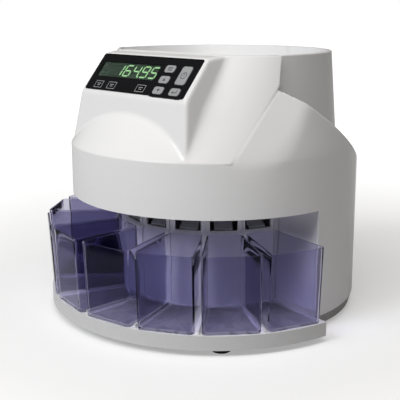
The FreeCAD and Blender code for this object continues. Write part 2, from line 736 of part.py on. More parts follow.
# Deck, chutes and track
def post_places():
    return [aim(angle, D.post_circle) for angle in (45, 135, 225, 315)]


MOTOR_Y = D.gear_module * (D.gear_teeth + D.pinion_teeth) / 2
DROP_START = D.coin_edge_radius - COINS[-1] - D.coin_play


def motor_screw_places():
    half = D.screw_spacing / 2
    return [(half * sx, MOTOR_Y + half * sy) for sx in (LEFT, RIGHT) for sy in (LEFT, RIGHT)]


def deck_plate():
    """The floor over the bins that carries the drive, with one curved slot above the chutes."""
    plate = cylinder(D.drum_radius - D.wall - D.deck_gap, D.deck_thickness, z=D.deck_bottom)
    posts = [prism(D.post_radius, D.track_bottom - DECK_TOP, x, y, DECK_TOP) for x, y in post_places()]
    slot = ring_sector(DROP_START, D.coin_edge_radius + 1, D.deck_thickness,
                       D.bin_pitch * (BIN_COUNT - 1) / 2 + D.slot_half_angle, D.deck_bottom, 0)
    bores = [cylinder(D.bearing_radius, D.deck_thickness, z=D.deck_bottom),
             cylinder(D.motor_shaft_radius * 2, D.deck_thickness, 0, MOTOR_Y, D.deck_bottom)]
    bores += [prism(D.screw_radius, D.deck_thickness, x, y, D.deck_bottom) for x, y in motor_screw_places()]
    bores += [prism(D.screw_radius, D.track_bottom - DECK_TOP, x, y, DECK_TOP) for x, y in post_places()]
    around_axis(cut(fuse(plate, *posts), slot, group(*bores)), "deck_plate")


def coin_chutes():
    """A ramp under the deck's slot for each coin, that leads it out to its bin."""
    chutes = []
    start = DROP_START - D.chute_thickness
    end = D.core_radius - D.core_wall - D.chute_gap
    for number in range(1, BIN_COUNT + 1):
        body = new_body(f"chute_{number}")
        profile = sketch(body, "XZ_Plane")
        outline(profile, [(start, D.deck_bottom), (end, D.outlet_bottom),
                          (end, D.outlet_bottom + D.chute_thickness), (DROP_START, D.deck_bottom)])
        pad(body, profile, D.chute_width, midplane=True)
        chutes.append(place(body, turn=bin_angle(number) - 90))
    around_axis(group(*chutes), "coin_chutes")


def track_plate():
    """The sorting track: notches at the edge that widen from the smallest coin to the largest."""
    plate = cylinder(D.throat_radius - D.track_gap, D.track_thickness, z=D.track_bottom)
    notches = [ring_sector(D.coin_edge_radius - coin, D.throat_radius, D.track_thickness, D.slot_half_angle,
                           D.track_bottom, bin_angle(number)) for number, coin in enumerate(COINS, start=1)]
    top = D.track_bottom + D.track_thickness
    bores = [cylinder(D.gear_hub_radius + D.hub_gap, D.track_thickness, z=D.track_bottom)]
    bores += [prism(D.screw_radius, D.track_thickness, x, y, D.track_bottom) for x, y in post_places()]
    sinks = [prism(D.screw_head_radius, D.screw_head_height, x, y, top - D.screw_head_height)
             for x, y in post_places()]
    around_axis(cut(plate, group(*notches), group(*bores), group(*sinks)), "track_plate")


def track_screws():
    """Sunk screws that hold the track on the deck's posts."""
    seat = D.track_bottom + D.track_thickness - D.screw_head_height
    screws = [screw(x, y, seat, D.track_thickness + D.screw_head_height, False) for x, y in post_places()]
    around_axis(group(*screws), "track_screws")


# Sorting disc and drive
HUB_BOTTOM = DECK_TOP + D.bearing_proud
DISC_TOP = D.disc_bottom + D.disc_thickness
POCKET_COUNT = 5


def coin_disc():
    """The turning disc whose round pockets carry coins along the track."""
    body = new_body("coin_disc")
    rim = sketch(body, "XY_Plane", D.disc_bottom)
    circle(rim, D.disc_radius)
    pad(body, rim, D.disc_thickness)
    bore = sketch(body, "XY_Plane", DISC_TOP)
    circle(bore, D.spindle_radius)
    pocket(body, bore, D.disc_thickness)
    hole = sketch(body, "XY_Plane", DISC_TOP)
    circle(hole, D.pocket_radius, D.pocket_circle, 0)
    first = pocket(body, hole, D.disc_thickness)
    doc.recompute()
    pattern = body.newObject("PartDesign::PolarPattern", "Pockets")
    pattern.Originals = [first]
    pattern.Axis = (datum(body, "Z_Axis"), [""])
    pattern.Angle = 360
    pattern.Occurrences = POCKET_COUNT
    body.Tip = pattern
    around_axis(body, "coin_disc")


def disc_spindle():
    """The plain shaft under the disc."""
    around_axis(cylinder(D.spindle_radius, DISC_TOP - D.spindle_foot, z=D.spindle_foot), "disc_spindle")


def spindle_bearing():
    """A bush in the deck; its top carries the gear's hub."""
    length = HUB_BOTTOM - D.bearing_bottom
    bush = cylinder(D.bearing_radius, length, z=D.bearing_bottom)
    bore = cylinder(D.spindle_radius + D.running_gap, length, z=D.bearing_bottom)
    around_axis(cut(bush, bore), "spindle_bearing")


def disc_cap():
    """A twelve-sided knob that clamps the disc."""
    around_axis(prism(D.cap_radius, D.cap_height, z=DISC_TOP, sides=12), "disc_cap")


FLANK_STEPS = 2
ADDENDUM = 0.9
DEDENDUM = 1.2


def involute(base_radius, radius):
    """The angle that an involute has turned by when it reaches a radius."""
    slope = math.sqrt(max((radius / base_radius) ** 2 - 1, 0))
    return slope - math.atan(slope)


def tooth_ring(teeth, phase):
    """The outline of a spur gear with involute flanks; a tooth stands at the phase angle."""
    module = SIZES["gear_module"]
    pitch = module * teeth / 2
    base = pitch * math.cos(math.radians(SIZES["pressure_angle"]))
    tip, foot = pitch + ADDENDUM * module, pitch - DEDENDUM * module
    half_tooth = math.pi / (2 * teeth) - SIZES["tooth_play"] / (2 * pitch) + involute(base, pitch)
    start = max(base, foot)
    steps = [start + (tip - start) * step / (FLANK_STEPS - 1) for step in range(FLANK_STEPS)]
    flank = [(foot, half_tooth - involute(base, start))] if foot < start else []
    flank += [(radius, half_tooth - involute(base, radius)) for radius in steps]
    tooth = [(radius, -turn) for radius, turn in flank] + flank[::-1]
    points = []
    for number in range(teeth):
        turn = phase + 2 * math.pi * number / teeth
        points += [FreeCAD.Vector(r * math.cos(turn + a), r * math.sin(turn + a), 0) for r, a in tooth]
    return Part.Face(Part.makePolygon(points + points[:1]))


def gear_solid(label, teeth, phase, width, bore):
    """A toothed disc with a bore, standing on the table at the drum axis."""
    item = doc.addObject("Part::Feature", label)
    blank = tooth_ring(teeth, phase).extrude(FreeCAD.Vector(0, 0, width.value))
    item.Shape = blank.cut(Part.makeCylinder(bore.value, width.value))
    return item


def driven_gear():
    """The large gear, with a tooth that points at the motor and a hub that carries the disc."""
    hub = D.disc_bottom - HUB_BOTTOM
    teeth = place(gear_solid("gear_teeth", SIZES["gear_teeth"], math.pi / 2, D.gear_width, D.spindle_radius),
                  z=HUB_BOTTOM + 1)
    boss = cut(cylinder(D.gear_hub_radius, hub, z=HUB_BOTTOM), cylinder(D.spindle_radius, hub, z=HUB_BOTTOM))
    around_axis(fuse(teeth, boss), "driven_gear")


def motor_pinion():
    """The small gear on the motor, with a gap that faces the large gear's tooth."""
    count = SIZES["pinion_teeth"]
    phase = -math.pi / 2 + math.pi / count
    item = gear_solid("pinion_teeth", count, phase, D.pinion_width, D.motor_shaft_radius)
    place(item, 0, AXIS_Y_PLACE + MOTOR_Y, HUB_BOTTOM + D.pinion_lift)
    finish(item, "motor_pinion")


GEARBOX_TOP = D.deck_bottom - D.motor_plate_thickness
SHAFT_FOOT = GEARBOX_TOP - D.gearbox_height / 2


def drive_motor():
    """A geared motor hung under the deck."""
    plate = centred_box(D.motor_plate, D.motor_plate, D.motor_plate_thickness, 0, MOTOR_Y, GEARBOX_TOP)
    gearbox = cylinder(D.gearbox_radius, D.gearbox_height, 0, MOTOR_Y, GEARBOX_TOP - D.gearbox_height)
    can = cylinder(D.motor_can_radius, D.motor_can_height, 0, MOTOR_Y,
                   GEARBOX_TOP - D.gearbox_height - D.motor_can_height)
    bores = [cylinder(D.motor_shaft_radius + D.running_gap, D.gearbox_height, 0, MOTOR_Y, SHAFT_FOOT)]
    bores += [prism(D.screw_radius, D.motor_plate_thickness, x, y, GEARBOX_TOP)
              for x, y in motor_screw_places()]
    around_axis(cut(fuse(plate, gearbox, can), group(*bores)), "drive_motor")


def motor_shaft():
    """The motor's output shaft."""
    length = HUB_BOTTOM + D.pinion_lift + D.pinion_width - SHAFT_FOOT
    finish(cylinder(D.motor_shaft_radius, length, 0, AXIS_Y_PLACE + MOTOR_Y, SHAFT_FOOT), "motor_shaft")


def motor_screws():
    length = D.deck_thickness + D.motor_plate_thickness
    screws = [fuse(prism(D.screw_head_radius, D.bearing_proud, x, y, DECK_TOP),
                   prism(D.screw_radius, length, x, y, DECK_TOP - length)) for x, y in motor_screw_places()]
    around_axis(group(*screws), "motor_screws")


def sensor_board():
    """A small board beside the track that counts coins."""
    y = D.throat_radius + D.hopper_wall + D.coin_play + D.port_width / 2
    board = centred_box(D.port_width * 2, D.port_width, D.board_thickness, 0, y, DECK_TOP)
    eye = centred_box(D.port_width, D.port_wall * 3, D.port_wall * 4, 0, y, DECK_TOP + D.board_thickness)
    around_axis(fuse(board, eye), "sensor_board")


# Hopper bowl
def hopper_bowl():
    """The bowl under the mouth, with a round throat about the disc and a flat-sided opening above it."""
    body = new_body("hopper_bowl")
    throat_radius = D.throat_radius
    floor_top = D.throat_top + D.hopper_wall
    outside = D.wall + D.hopper_gap
    tube = sketch(body, "XY_Plane", DECK_TOP)
    circle(tube, throat_radius + D.hopper_wall)
    pad(body, tube, floor_top - DECK_TOP)
    bowl = sketch(body, "XY_Plane", D.throat_top)
    mouth_outline(bowl, outside)
    pad(body, bowl, D.rim_height - D.throat_top)
    inside = sketch(body, "XY_Plane", D.rim_height)
    mouth_outline(inside, outside + D.hopper_wall)
    pocket(body, inside, D.rim_height - floor_top)
    throat = sketch(body, "XY_Plane", D.throat_top)
    circle(throat, throat_radius)
    pocket(body, throat, D.throat_top - DECK_TOP)
    opening = sketch(body, "XY_Plane", floor_top)
    front = D.visor_front - outside - D.hopper_wall
    half = root(throat_radius * throat_radius - front * front)
    outline(opening, [(half, -front), (0, throat_radius), (-half, -front)],
            {0: (throat_radius, (0, 0)), 1: (throat_radius, (0, 0))})
    pocket(body, opening, D.hopper_wall)
    around_axis(body, "hopper_bowl")


# Console pieces, made flat and laid on the sloping face
def key_layout():
    """Name, place and size of each key."""
    narrow, short = D.narrow_key_width, D.short_key_height
    return {"mode_key": (D.left_keys_x, D.mode_key_y, narrow, short),
            "up_key": (D.left_keys_x, D.up_key_y, narrow, short),
            "down_key": (D.left_keys_x, D.down_key_y, narrow, short),
            "start_key": (D.right_keys_x, D.start_key_y, narrow, D.tall_key_height),
            "enter_key": (D.right_keys_x, D.enter_key_y, narrow, short)}


KEYPAD_TOP = PANEL_BACK - D.key_flange_thickness - D.key_travel - D.key_clearance


def keypad_posts():
    inset = D.keypad_post_inset
    half_w, half_h = D.keypad_width / 2 - inset, D.keypad_height / 2 - inset
    return [(D.keypad_x + half_w * sx, D.keypad_y + half_h * sy)
            for sx in (LEFT, RIGHT) for sy in (LEFT, RIGHT)]


def control_panel():
    """The black face plate with openings for the display and the keys."""
    body = new_body("control_panel")
    plate = sketch(body, "XY_Plane", PANEL_BACK)
    rounded_rectangle(plate, D.panel_width, D.panel_height, D.panel_corner)
    pad(body, plate, D.panel_thickness)
    window = sketch(body, "XY_Plane", D.panel_proud)
    rectangle(window, D.window_width, D.window_height, D.window_x, D.window_y, D.key_corner)
    pocket(body, window, D.panel_thickness)
    for x, y, width, height in key_layout().values():
        opening = sketch(body, "XY_Plane", D.panel_proud)
        play = D.key_play * 2
        rectangle(opening, width + play, height + play, x, y, D.key_corner)
        pocket(body, opening, D.panel_thickness)
    posts = sketch(body, "XY_Plane", PANEL_BACK)
    for x, y in keypad_posts():
        rectangle(posts, D.keypad_post_width, D.keypad_post_width, x, y)
    pad(body, posts, PANEL_BACK - KEYPAD_TOP, reverse=True)
    finish(panel_place(body), "control_panel")


def display_window():
    """The clear pane over the display."""
    body = new_body("display_window")
    pane = sketch(body, "XY_Plane", PANEL_BACK)
    rectangle(pane, D.window_width, D.window_height, D.window_x, D.window_y, D.key_corner)
    pad(body, pane, D.window_thickness)
    finish(panel_place(body), "display_window")


def lcd_module():
    """The display behind the pane, with a plug at its back."""
    margin = D.display_margin * 2
    back = PANEL_BACK - D.display_depth
    glass = centred_box(D.window_width + margin, D.window_height + margin, D.display_depth, D.window_x,
                        D.window_y, back)
    plug = centred_box(D.plug_length, D.plug_width, D.plug_height, D.window_x, D.window_y,
                       back - D.plug_height)
    finish(panel_place(fuse(glass, plug)), "lcd_module")


def keypad_board():
    """The switch board on the panel's posts, with a plug at its back."""
    back = KEYPAD_TOP - D.board_thickness
    board = centred_box(D.keypad_width, D.keypad_height, D.board_thickness, D.keypad_x, D.keypad_y, back)
    plug = centred_box(D.plug_length, D.plug_width, D.plug_height, D.keypad_x, D.keypad_y,
                       back - D.plug_height)
    finish(panel_place(fuse(board, plug)), "keypad_board")


def panel_key(label, x, y, width, height):
    """A key cap with a flange that stops behind the panel."""
    body = new_body(label)
    flange = sketch(body, "XY_Plane", PANEL_BACK - D.key_flange_thickness)
    rectangle(flange, width + D.key_flange * 2, height + D.key_flange * 2, x, y)
    pad(body, flange, D.key_flange_thickness)
    cap = sketch(body, "XY_Plane", PANEL_BACK)
    rectangle(cap, width, height, x, y, D.key_corner)
    pad(body, cap, D.key_proud - PANEL_BACK)
    finish(panel_place(body), label)


# Boards and power
def main_board():
    """The controller board on the base's pillars."""
    z = D.tray_top + D.standoff_height
    board = centred_box(D.main_board_width, D.main_board_depth, D.board_thickness, 0, D.main_board_y, z)
    z = z + D.board_thickness
    side = D.main_board_width / 5
    chip = centred_box(side, side, D.board_thickness * 1.5, 0, D.main_board_y, z)
    plugs = [centred_box(side, D.main_board_depth / 8, D.standoff_height * 1.5,
                         D.main_board_width * share, D.main_board_y + D.main_board_depth * 0.36, z)
             for share in (-0.3, 0, 0.3)]
    around_axis(fuse(board, chip, *plugs), "main_board")


def power_supply():
    """The boxed supply on the base, with a terminal strip at its end."""
    case = centred_box(D.supply_width, D.supply_depth, D.supply_height, 0, D.supply_y, D.tray_top)
    strip = box(D.plug_width, D.plug_length, D.plug_height, D.supply_width / 2,
                D.supply_y - D.plug_length / 2, D.tray_top + D.plug_height)
    around_axis(fuse(case, strip), "power_supply")


def socket_body(x, width, tall, depth, cavity_wall, cavity_depth):
    """A flanged socket in the rear panel, hollow from outside."""
    margin = D.flange_margin * 2
    face = D.recess_plane + D.flange_thickness
    flange = rear_box(x, width + margin, tall + margin, D.flange_thickness, face)
    body = rear_box(x, width, tall, depth + D.flange_thickness, face)
    hollow = rear_box(x, width - cavity_wall * 2, tall - cavity_wall * 2, cavity_depth, face)
    return cut(fuse(flange, body), hollow)


def power_inlet():
    """The mains inlet and its three pins."""
    x, width, tall = socket_sizes()["inlet"]
    around_axis(socket_body(x, width, tall, D.inlet_depth, D.switch_wall, D.inlet_cavity), "power_inlet")
    floor = D.recess_plane + D.flange_thickness - D.inlet_cavity
    pin_tall, pin_wide, pin_length = D.inlet_tall / 5, D.flange_thickness, D.inlet_cavity * 0.7
    pins = [box(pin_wide, pin_length, pin_tall, x + width * across - pin_wide / 2, floor,
                D.socket_height + tall * up - pin_tall / 2)
            for across, up in ((-0.26, -0.12), (0, 0.16), (0.26, -0.12))]
    around_axis(group(*pins), "inlet_pins")


PIVOT_Y = D.recess_plane - D.flange_thickness / 2


def switch_frame():
    """The frame that holds the rocker."""
    x, width, tall = socket_sizes()["switch"]
    shell = socket_body(x, width, tall, D.switch_depth, D.switch_wall, D.switch_depth)
    bore = D.rocker_pin_radius + D.running_gap
    pin = cylinder(bore, width, x - width / 2, PIVOT_Y, D.socket_height, AXIS_Y, 90)
    around_axis(cut(shell, pin), "switch_frame")


def power_rocker():
    """A rocker with two sloping faces on a pin, tipped to its off side."""
    body = new_body("power_rocker")
    half, crown = D.rocker_tall / 2, D.flange_thickness * 3
    profile = sketch(body, "YZ_Plane")
    outline(profile, [(-crown, 0), (-D.flange_thickness, -half * 0.7), (crown * 0.85, -half),
                      (crown * 0.6, 0), (crown * 0.85, half), (-D.flange_thickness, half * 0.7)])
    pad(body, profile, D.rocker_width, midplane=True)
    pin = sketch(body, "YZ_Plane")
    circle(pin, D.rocker_pin_radius)
    pad(body, pin, D.rocker_width + D.socket_gap * 2 + D.switch_wall * 1.5, midplane=True)
    place(body, D.switch_x, AXIS_Y_PLACE + PIVOT_Y, D.socket_height, AXIS_X, -D.rocker_tip)
    finish(body, "power_rocker")


def printer_port():
    """The socket for a receipt printer's lead."""
    x, width, tall = socket_sizes()["port"]
    around_axis(socket_body(x, width, tall, D.port_depth, D.port_wall, D.port_depth * 0.8), "printer_port")


def build():
    """Make every sub-part."""
    main_housing()
    hopper_bowl()
    base_tray()
    rubber_feet()
    case_screws()
    inner_wall()
    for number in range(1, BIN_COUNT + 1):
        coin_bin(number)
    deck_plate()
    coin_chutes()
    track_plate()
    track_screws()
    coin_disc()
    disc_spindle()
    spindle_bearing()
    disc_cap()
    driven_gear()
    motor_pinion()
    drive_motor()
    motor_shaft()
    motor_screws()
    sensor_board()
    control_panel()
    display_window()
    lcd_module()
    keypad_board()
    for label, layout in key_layout().items():
        panel_key(label, *layout)
    main_board()
    power_supply()
    power_inlet()
    switch_frame()
    power_rocker()
    printer_port()


def export_pieces():
    """Check every object and write each sub-part to its own file."""
    doc.recompute()
    faulty = [item.Name for item in doc.Objects if "Invalid" in item.State or "Error" in item.State]
    if faulty:
        raise RuntimeError("failed objects: " + ", ".join(faulty))
    os.makedirs("parts", exist_ok=True)
    for piece in PIECES:
        if piece.Shape.isNull() or not piece.Shape.isValid():
            raise RuntimeError("bad shape: " + piece.Label)
        piece.Shape.exportStep(f"parts/{piece.Label}.step")


build()
export_pieces()
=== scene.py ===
"""Studio picture of a table-top coin sorting machine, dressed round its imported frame.

Sizes are in millimetres about the drum axis, with the front towards -Y, and become metres in the frame
when a mesh is made. Angles about the drum are counted from the front towards the right.
"""
from __future__ import annotations

import json
import logging
import math
from dataclasses import dataclass, field
from enum import Enum
from typing import NamedTuple

import bmesh
import bpy
import numpy as np
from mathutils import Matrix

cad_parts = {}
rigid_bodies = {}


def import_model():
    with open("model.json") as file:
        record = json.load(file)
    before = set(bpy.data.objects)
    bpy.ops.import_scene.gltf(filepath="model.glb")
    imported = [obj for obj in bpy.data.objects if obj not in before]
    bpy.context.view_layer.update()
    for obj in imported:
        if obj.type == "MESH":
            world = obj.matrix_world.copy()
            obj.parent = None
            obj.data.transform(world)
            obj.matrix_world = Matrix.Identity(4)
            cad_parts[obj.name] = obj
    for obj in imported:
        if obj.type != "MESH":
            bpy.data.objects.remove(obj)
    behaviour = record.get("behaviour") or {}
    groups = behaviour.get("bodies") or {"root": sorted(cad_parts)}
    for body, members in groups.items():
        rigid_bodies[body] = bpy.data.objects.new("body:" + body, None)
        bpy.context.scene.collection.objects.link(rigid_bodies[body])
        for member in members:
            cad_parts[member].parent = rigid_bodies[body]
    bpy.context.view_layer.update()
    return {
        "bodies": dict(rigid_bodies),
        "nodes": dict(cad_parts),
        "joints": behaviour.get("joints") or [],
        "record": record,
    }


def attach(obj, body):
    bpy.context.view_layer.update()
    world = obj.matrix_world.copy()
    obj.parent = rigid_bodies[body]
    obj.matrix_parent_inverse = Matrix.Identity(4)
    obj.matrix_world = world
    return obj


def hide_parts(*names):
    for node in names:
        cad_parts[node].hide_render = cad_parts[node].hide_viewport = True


LOG = logging.getLogger("coin_sorter")
MM = 0.001
AXIS_Y = 14.25
CASE = "case"
BIN_COUNT = 8
WALL_CREASE = 35.0
Array = np.ndarray
Mesh = bpy.types.Mesh
Node = bpy.types.Node
Triple = tuple[float, float, float]
Colour = Triple
SQUARE = np.array([[-0.5, -0.5], [0.5, -0.5], [0.5, 0.5], [-0.5, 0.5]])


def smooth_max(first: Array, second: Array, width: float | Array) -> Array:
    """The larger of two fields, plus a parabola of width / 4 that ends where they differ by a width."""
    near = np.maximum(width - np.abs(first - second), 0.0) / width
    return np.maximum(first, second) + near * near * width / 4


def smooth_min(first: Array, second: Array, width: float | Array) -> Array:
    """The smaller of two fields, rounded in the same way as smooth_max."""
    return -smooth_max(-first, -second, width)


def grid_quads(rows: int, columns: int, wrap: bool) -> Array:
    """Corner numbers of the quads of a grid of points.

    Args:
        rows: number of rows.
        columns: number of points in a row.
        wrap: whether the last row joins the first.

    Returns:
        An array of rows by columns by four corner numbers.
    """
    row = np.arange(rows if wrap else rows - 1)[:, None]
    column = np.arange(columns - 1)
    start, end = row * columns + column, (row + 1) % rows * columns + column
    return np.stack([start, end, end + 1, start + 1], -1)


@dataclass(frozen=True)
class Graph:
    """A node tree with short ways to add nodes and to join them."""

    tree: bpy.types.NodeTree

    @property
    def shader(self) -> Node:
        """The material's own shader."""
        return self.tree.nodes["Principled BSDF"]

    @staticmethod
    def put(node: Node, **values: object) -> Node:
        """Set input sockets by name; an underscore stands for a space.

        Args:
            node: the node to set.
            values: socket values.

        Returns:
            The same node.
        """
        for name, value in values.items():
            node.inputs[name.replace("_", " ")].default_value = value
        return node

    def add(self, kind: str, **values: object) -> Node:
        """A new shader node of a kind, with its input sockets set."""
        return self.put(self.tree.nodes.new("ShaderNode" + kind), **values)

    def join(self, *links: tuple[Node, str | int, Node, str | int]) -> None:
        """Join nodes; each link is a node, its output, another node and its input."""
        for source, output, target, entry in links:
            self.tree.links.new(source.outputs[output], target.inputs[entry])

    def cloud(self, light: Colour, dark: Colour, target: str, rough: tuple[float, float] | None = None,
              **noise: float) -> Node:
        """Drive a colour of the shader, and its roughness, by noise over Object coordinates.

        Args:
            light: the colour at one end of the noise.
            dark: the colour at the other end.
            target: the shader's colour socket.
            rough: roughness at both ends, or None to leave it alone.
            noise: settings of the noise.

        Returns:
            The node of the coordinates.
        """
        place, cloud, tint = self.add("TexCoord"), self.add("TexNoise", **noise), self.add("Mix")
        tint.data_type = "RGBA"
        self.put(tint, A=(*light, 1), B=(*dark, 1))
        self.join((place, "Object", cloud, "Vector"), (cloud, "Fac", tint, "Factor"),
                  (tint, "Result", self.shader, target))
        if rough:
            gloss = self.add("MapRange", To_Min=rough[0], To_Max=rough[1])
            self.join((cloud, "Fac", gloss, "Value"), (gloss, "Result", self.shader, "Roughness"))
        return place


class Gloss(Enum):
    """How a moulded surface takes the light: roughness and depth of its fine grain."""

    POLISHED = (0.16, 0.006)
    SATIN = (0.34, 0.02)
    MATTE = (0.55, 0.05)
    RUBBER = (0.8, 0.12)
    METAL = (0.3, 0.03)


@dataclass(frozen=True)
class Surface:
    """A finish with a name and a colour, whose material is made once and shared."""

    name: str
    colour: Colour

    def material(self) -> bpy.types.Material:
        """The material, under a name that the frame's own materials don't have.

        Returns:
            A node material that reads Object coordinates.
        """
        label = self.name + "_finish"
        if label in bpy.data.materials:
            return bpy.data.materials[label]
        material = bpy.data.materials.new(label)
        material.use_nodes = True
        self.connect(Graph(material.node_tree))
        return material

    def connect(self, graph: Graph) -> None:
        """Add the finish's nodes to a new material."""
        raise NotImplementedError

    def darker(self, share: float) -> Colour:
        """The colour with a share of its light taken away."""
        return tuple(part * (1 - share) for part in self.colour)


@dataclass(frozen=True)
class Finish(Surface):
    """A moulded, painted or turned surface with faint mottling, uneven gloss and fine grain."""

    gloss: Gloss = Gloss.SATIN
    mottle: float = 0.03
    grain_scale: float = 900.0
    coat: float = 0.0
    shine: float = 0.5
    index: float = 1.45
    coat_roughness: float = 0.08
    grain_depth: float = 0.0004
    gloss_low: float = 0.88
    gloss_high: float = 1.14

    def connect(self, graph: Graph) -> None:
        """Add mottled colour, uneven gloss and grain.

        Args:
            graph: the new material's nodes.
        """
        roughness, depth = self.gloss.value
        graph.put(graph.shader, Metallic=float(self.gloss is Gloss.METAL), Coat_Weight=self.coat,
                  Coat_Roughness=self.coat_roughness, Specular_IOR_Level=self.shine, IOR=self.index)
        place = graph.cloud(self.colour, self.darker(self.mottle), "Base Color",
                            (roughness * self.gloss_low, roughness * self.gloss_high),
                            Scale=38.0, Detail=4.0, Roughness=0.6)
        grain = graph.add("TexNoise", Scale=self.grain_scale, Detail=2.0)
        bump = graph.add("Bump", Strength=depth, Distance=self.grain_depth)
        graph.join((place, "Object", grain, "Vector"), (grain, "Fac", bump, "Height"),
                   (bump, "Normal", graph.shader, "Normal"))


@dataclass(frozen=True)
class ClearFinish(Surface):
    """A clear tinted plastic with faint flow marks in its gloss, which lets lamps shine through."""

    passed: Colour
    roughness: float = 0.04
    index: float = 1.3
    flow_mark: float = 0.06
    gloss_low: float = 0.7
    gloss_high: float = 1.5

    def connect(self, graph: Graph) -> None:
        """Add tinted glass that is plainly transparent to shadow rays.

        Args:
            graph: the new material's nodes.
        """
        shader = graph.put(graph.shader, IOR=self.index, Transmission_Weight=1.0)
        rough = (self.roughness * self.gloss_low, self.roughness * self.gloss_high)
        graph.cloud(self.colour, self.darker(self.flow_mark), "Base Color", rough, Scale=22.0, Detail=3.0)
        window = graph.add("BsdfTransparent", Color=(*self.passed, 1))
        path, either = graph.add("LightPath"), graph.add("MixShader")
        end = graph.tree.nodes["Material Output"]
        graph.join((path, "Is Shadow Ray", either, "Fac"), (shader, "BSDF", either, 1),
                   (window, "BSDF", either, 2), (either, "Shader", end, "Surface"))


@dataclass(frozen=True)
class LitFinish(Surface):
    """Display segments that glow, a little unevenly."""

    strength: float
    unlit: Colour = (0.02, 0.03, 0.02)
    fade: float = 0.2

    def connect(self, graph: Graph) -> None:
        """Add an uneven glow over a dark base."""
        graph.put(graph.shader, Emission_Strength=self.strength, Roughness=0.5, Base_Color=(*self.unlit, 1))
        graph.cloud(self.colour, self.darker(self.fade), "Emission Color", Scale=240.0, Detail=1.0)


WHITE_SHELL = Finish("white_shell", (0.8, 0.8, 0.8), Gloss.POLISHED, mottle=0.015, coat=0.05, shine=0.22)
HOPPER_WHITE = Finish("hopper_white", (0.76, 0.765, 0.775), mottle=0.02)
PALE_BASE = Finish("pale_base", (0.63, 0.63, 0.635), mottle=0.02)
# Painted shade: this dark grey stands for the shade that falls under the base's lower edge.
TOE_PAINTED_SHADE = Finish("toe_painted_shade", (0.3, 0.295, 0.285), Gloss.MATTE, mottle=0.04)
SMOKE = ClearFinish("smoke_plastic", (0.62, 0.61, 0.73), (0.85, 0.845, 0.9), index=1.14)
PANEL_BLACK = Finish("panel_black", (0.008, 0.008, 0.009), mottle=0.1, shine=0.3, index=1.1)
PANE = ClearFinish("display_pane", (0.86, 0.9, 0.87), (0.9, 0.92, 0.9), 0.02, 1.15)
DISPLAY_DARK = Finish("display_dark", (0.012, 0.03, 0.016), mottle=0.15, shine=0.3)
DIGIT_GREEN = LitFinish("digit_green", (0.42, 0.8, 0.36), 1.0)
KEY_GREY = Finish("key_grey", (0.31, 0.315, 0.32))
MARK_DARK = Finish("mark_dark", (0.03, 0.03, 0.033), Gloss.MATTE)
MARK_PALE = Finish("mark_pale", (0.42, 0.43, 0.44), Gloss.MATTE)
RUBBER = Finish("foot_rubber", (0.018, 0.018, 0.019), Gloss.RUBBER, grain_scale=500.0)
STEEL = Finish("turned_steel", (0.55, 0.56, 0.58), Gloss.METAL)
BRONZE = Finish("bearing_bronze", (0.55, 0.4, 0.2), Gloss.METAL)
ALLOY = Finish("plate_alloy", (0.62, 0.63, 0.64), Gloss.METAL)
DISC_GREY = Finish("disc_grey", (0.3, 0.305, 0.315))
GEAR_WHITE = Finish("gear_white", (0.72, 0.71, 0.66))
BOARD_GREEN = Finish("board_green", (0.03, 0.16, 0.07), mottle=0.15)
SOCKET_BLACK = Finish("socket_black", (0.022, 0.022, 0.024), Gloss.MATTE)
DECK_GREY = Finish("deck_grey", (0.42, 0.425, 0.44), Gloss.MATTE)


def to_frame(points: Array) -> Array:
    """Turn millimetres about the drum axis into metres in the frame."""
    return (np.asarray(points, float) + (0.0, AXIS_Y, 0.0)) * MM


def add_object(name: str, data: bpy.types.ID) -> bpy.types.Object:
    """A new object in the scene.

    Args:
        name: the object's name.
        data: its mesh, light or camera.

    Returns:
        The object.
    """
    made = bpy.data.objects.new(name, data)
    bpy.context.scene.collection.objects.link(made)
    return made


def make_mesh(name: str, points: Array, faces: list[list[int]]) -> Mesh:
    """A mesh of points about the drum axis.

    Args:
        name: the mesh's name, which its piece takes over.
        points: points in millimetres.
        faces: corner numbers of each face.

    Returns:
        The mesh, in metres in the frame.
    """
    mesh = bpy.data.meshes.new(name)
    mesh.from_pydata(to_frame(points).tolist(), [], faces)
    return mesh


def shell_mesh(name: str, outer: Array, inner: Array, keep: Array | None = None) -> Mesh:
    """The closed wall between two grids, with holes where quads are not kept.

    Each kept quad appears once on each grid, and a wall quad closes every edge that a kept quad
    shares with none.

    Args:
        name: the mesh's name.
        outer: rows by columns by three points that face outwards.
        inner: the same grid on the inside.
        keep: which quads there are, or None for all; with as many rows as the grid, it runs round.

    Returns:
        The mesh, without unused points.
    """
    rows, columns, _ = outer.shape
    count = rows * columns
    keep = np.ones((rows - 1, columns - 1), bool) if keep is None else keep
    wrap = len(keep) == rows
    quads = grid_quads(rows, columns, wrap)
    padded = np.pad(keep, 1)
    if wrap:
        padded[[0, -1]] = padded[[-2, 1]]
    before, after, below, above = padded[:-2, 1:-1], padded[2:, 1:-1], padded[1:-1, :-2], padded[1:-1, 2:]
    faces = [quads[keep], quads[keep][:, ::-1] + count]
    for start, end, beside in ((0, 1, below), (1, 2, after), (2, 3, above), (3, 0, before)):
        edge = quads[keep & ~beside]
        first, second = edge[:, start], edge[:, end]
        faces.append(np.stack([second, first, first + count, second + count], -1))
    faces = np.vstack(faces)
    used, numbers = np.unique(faces, return_inverse=True)
    points = np.vstack([outer.reshape(-1, 3), inner.reshape(-1, 3)])
    return make_mesh(name, points[used], numbers.reshape(faces.shape).tolist())


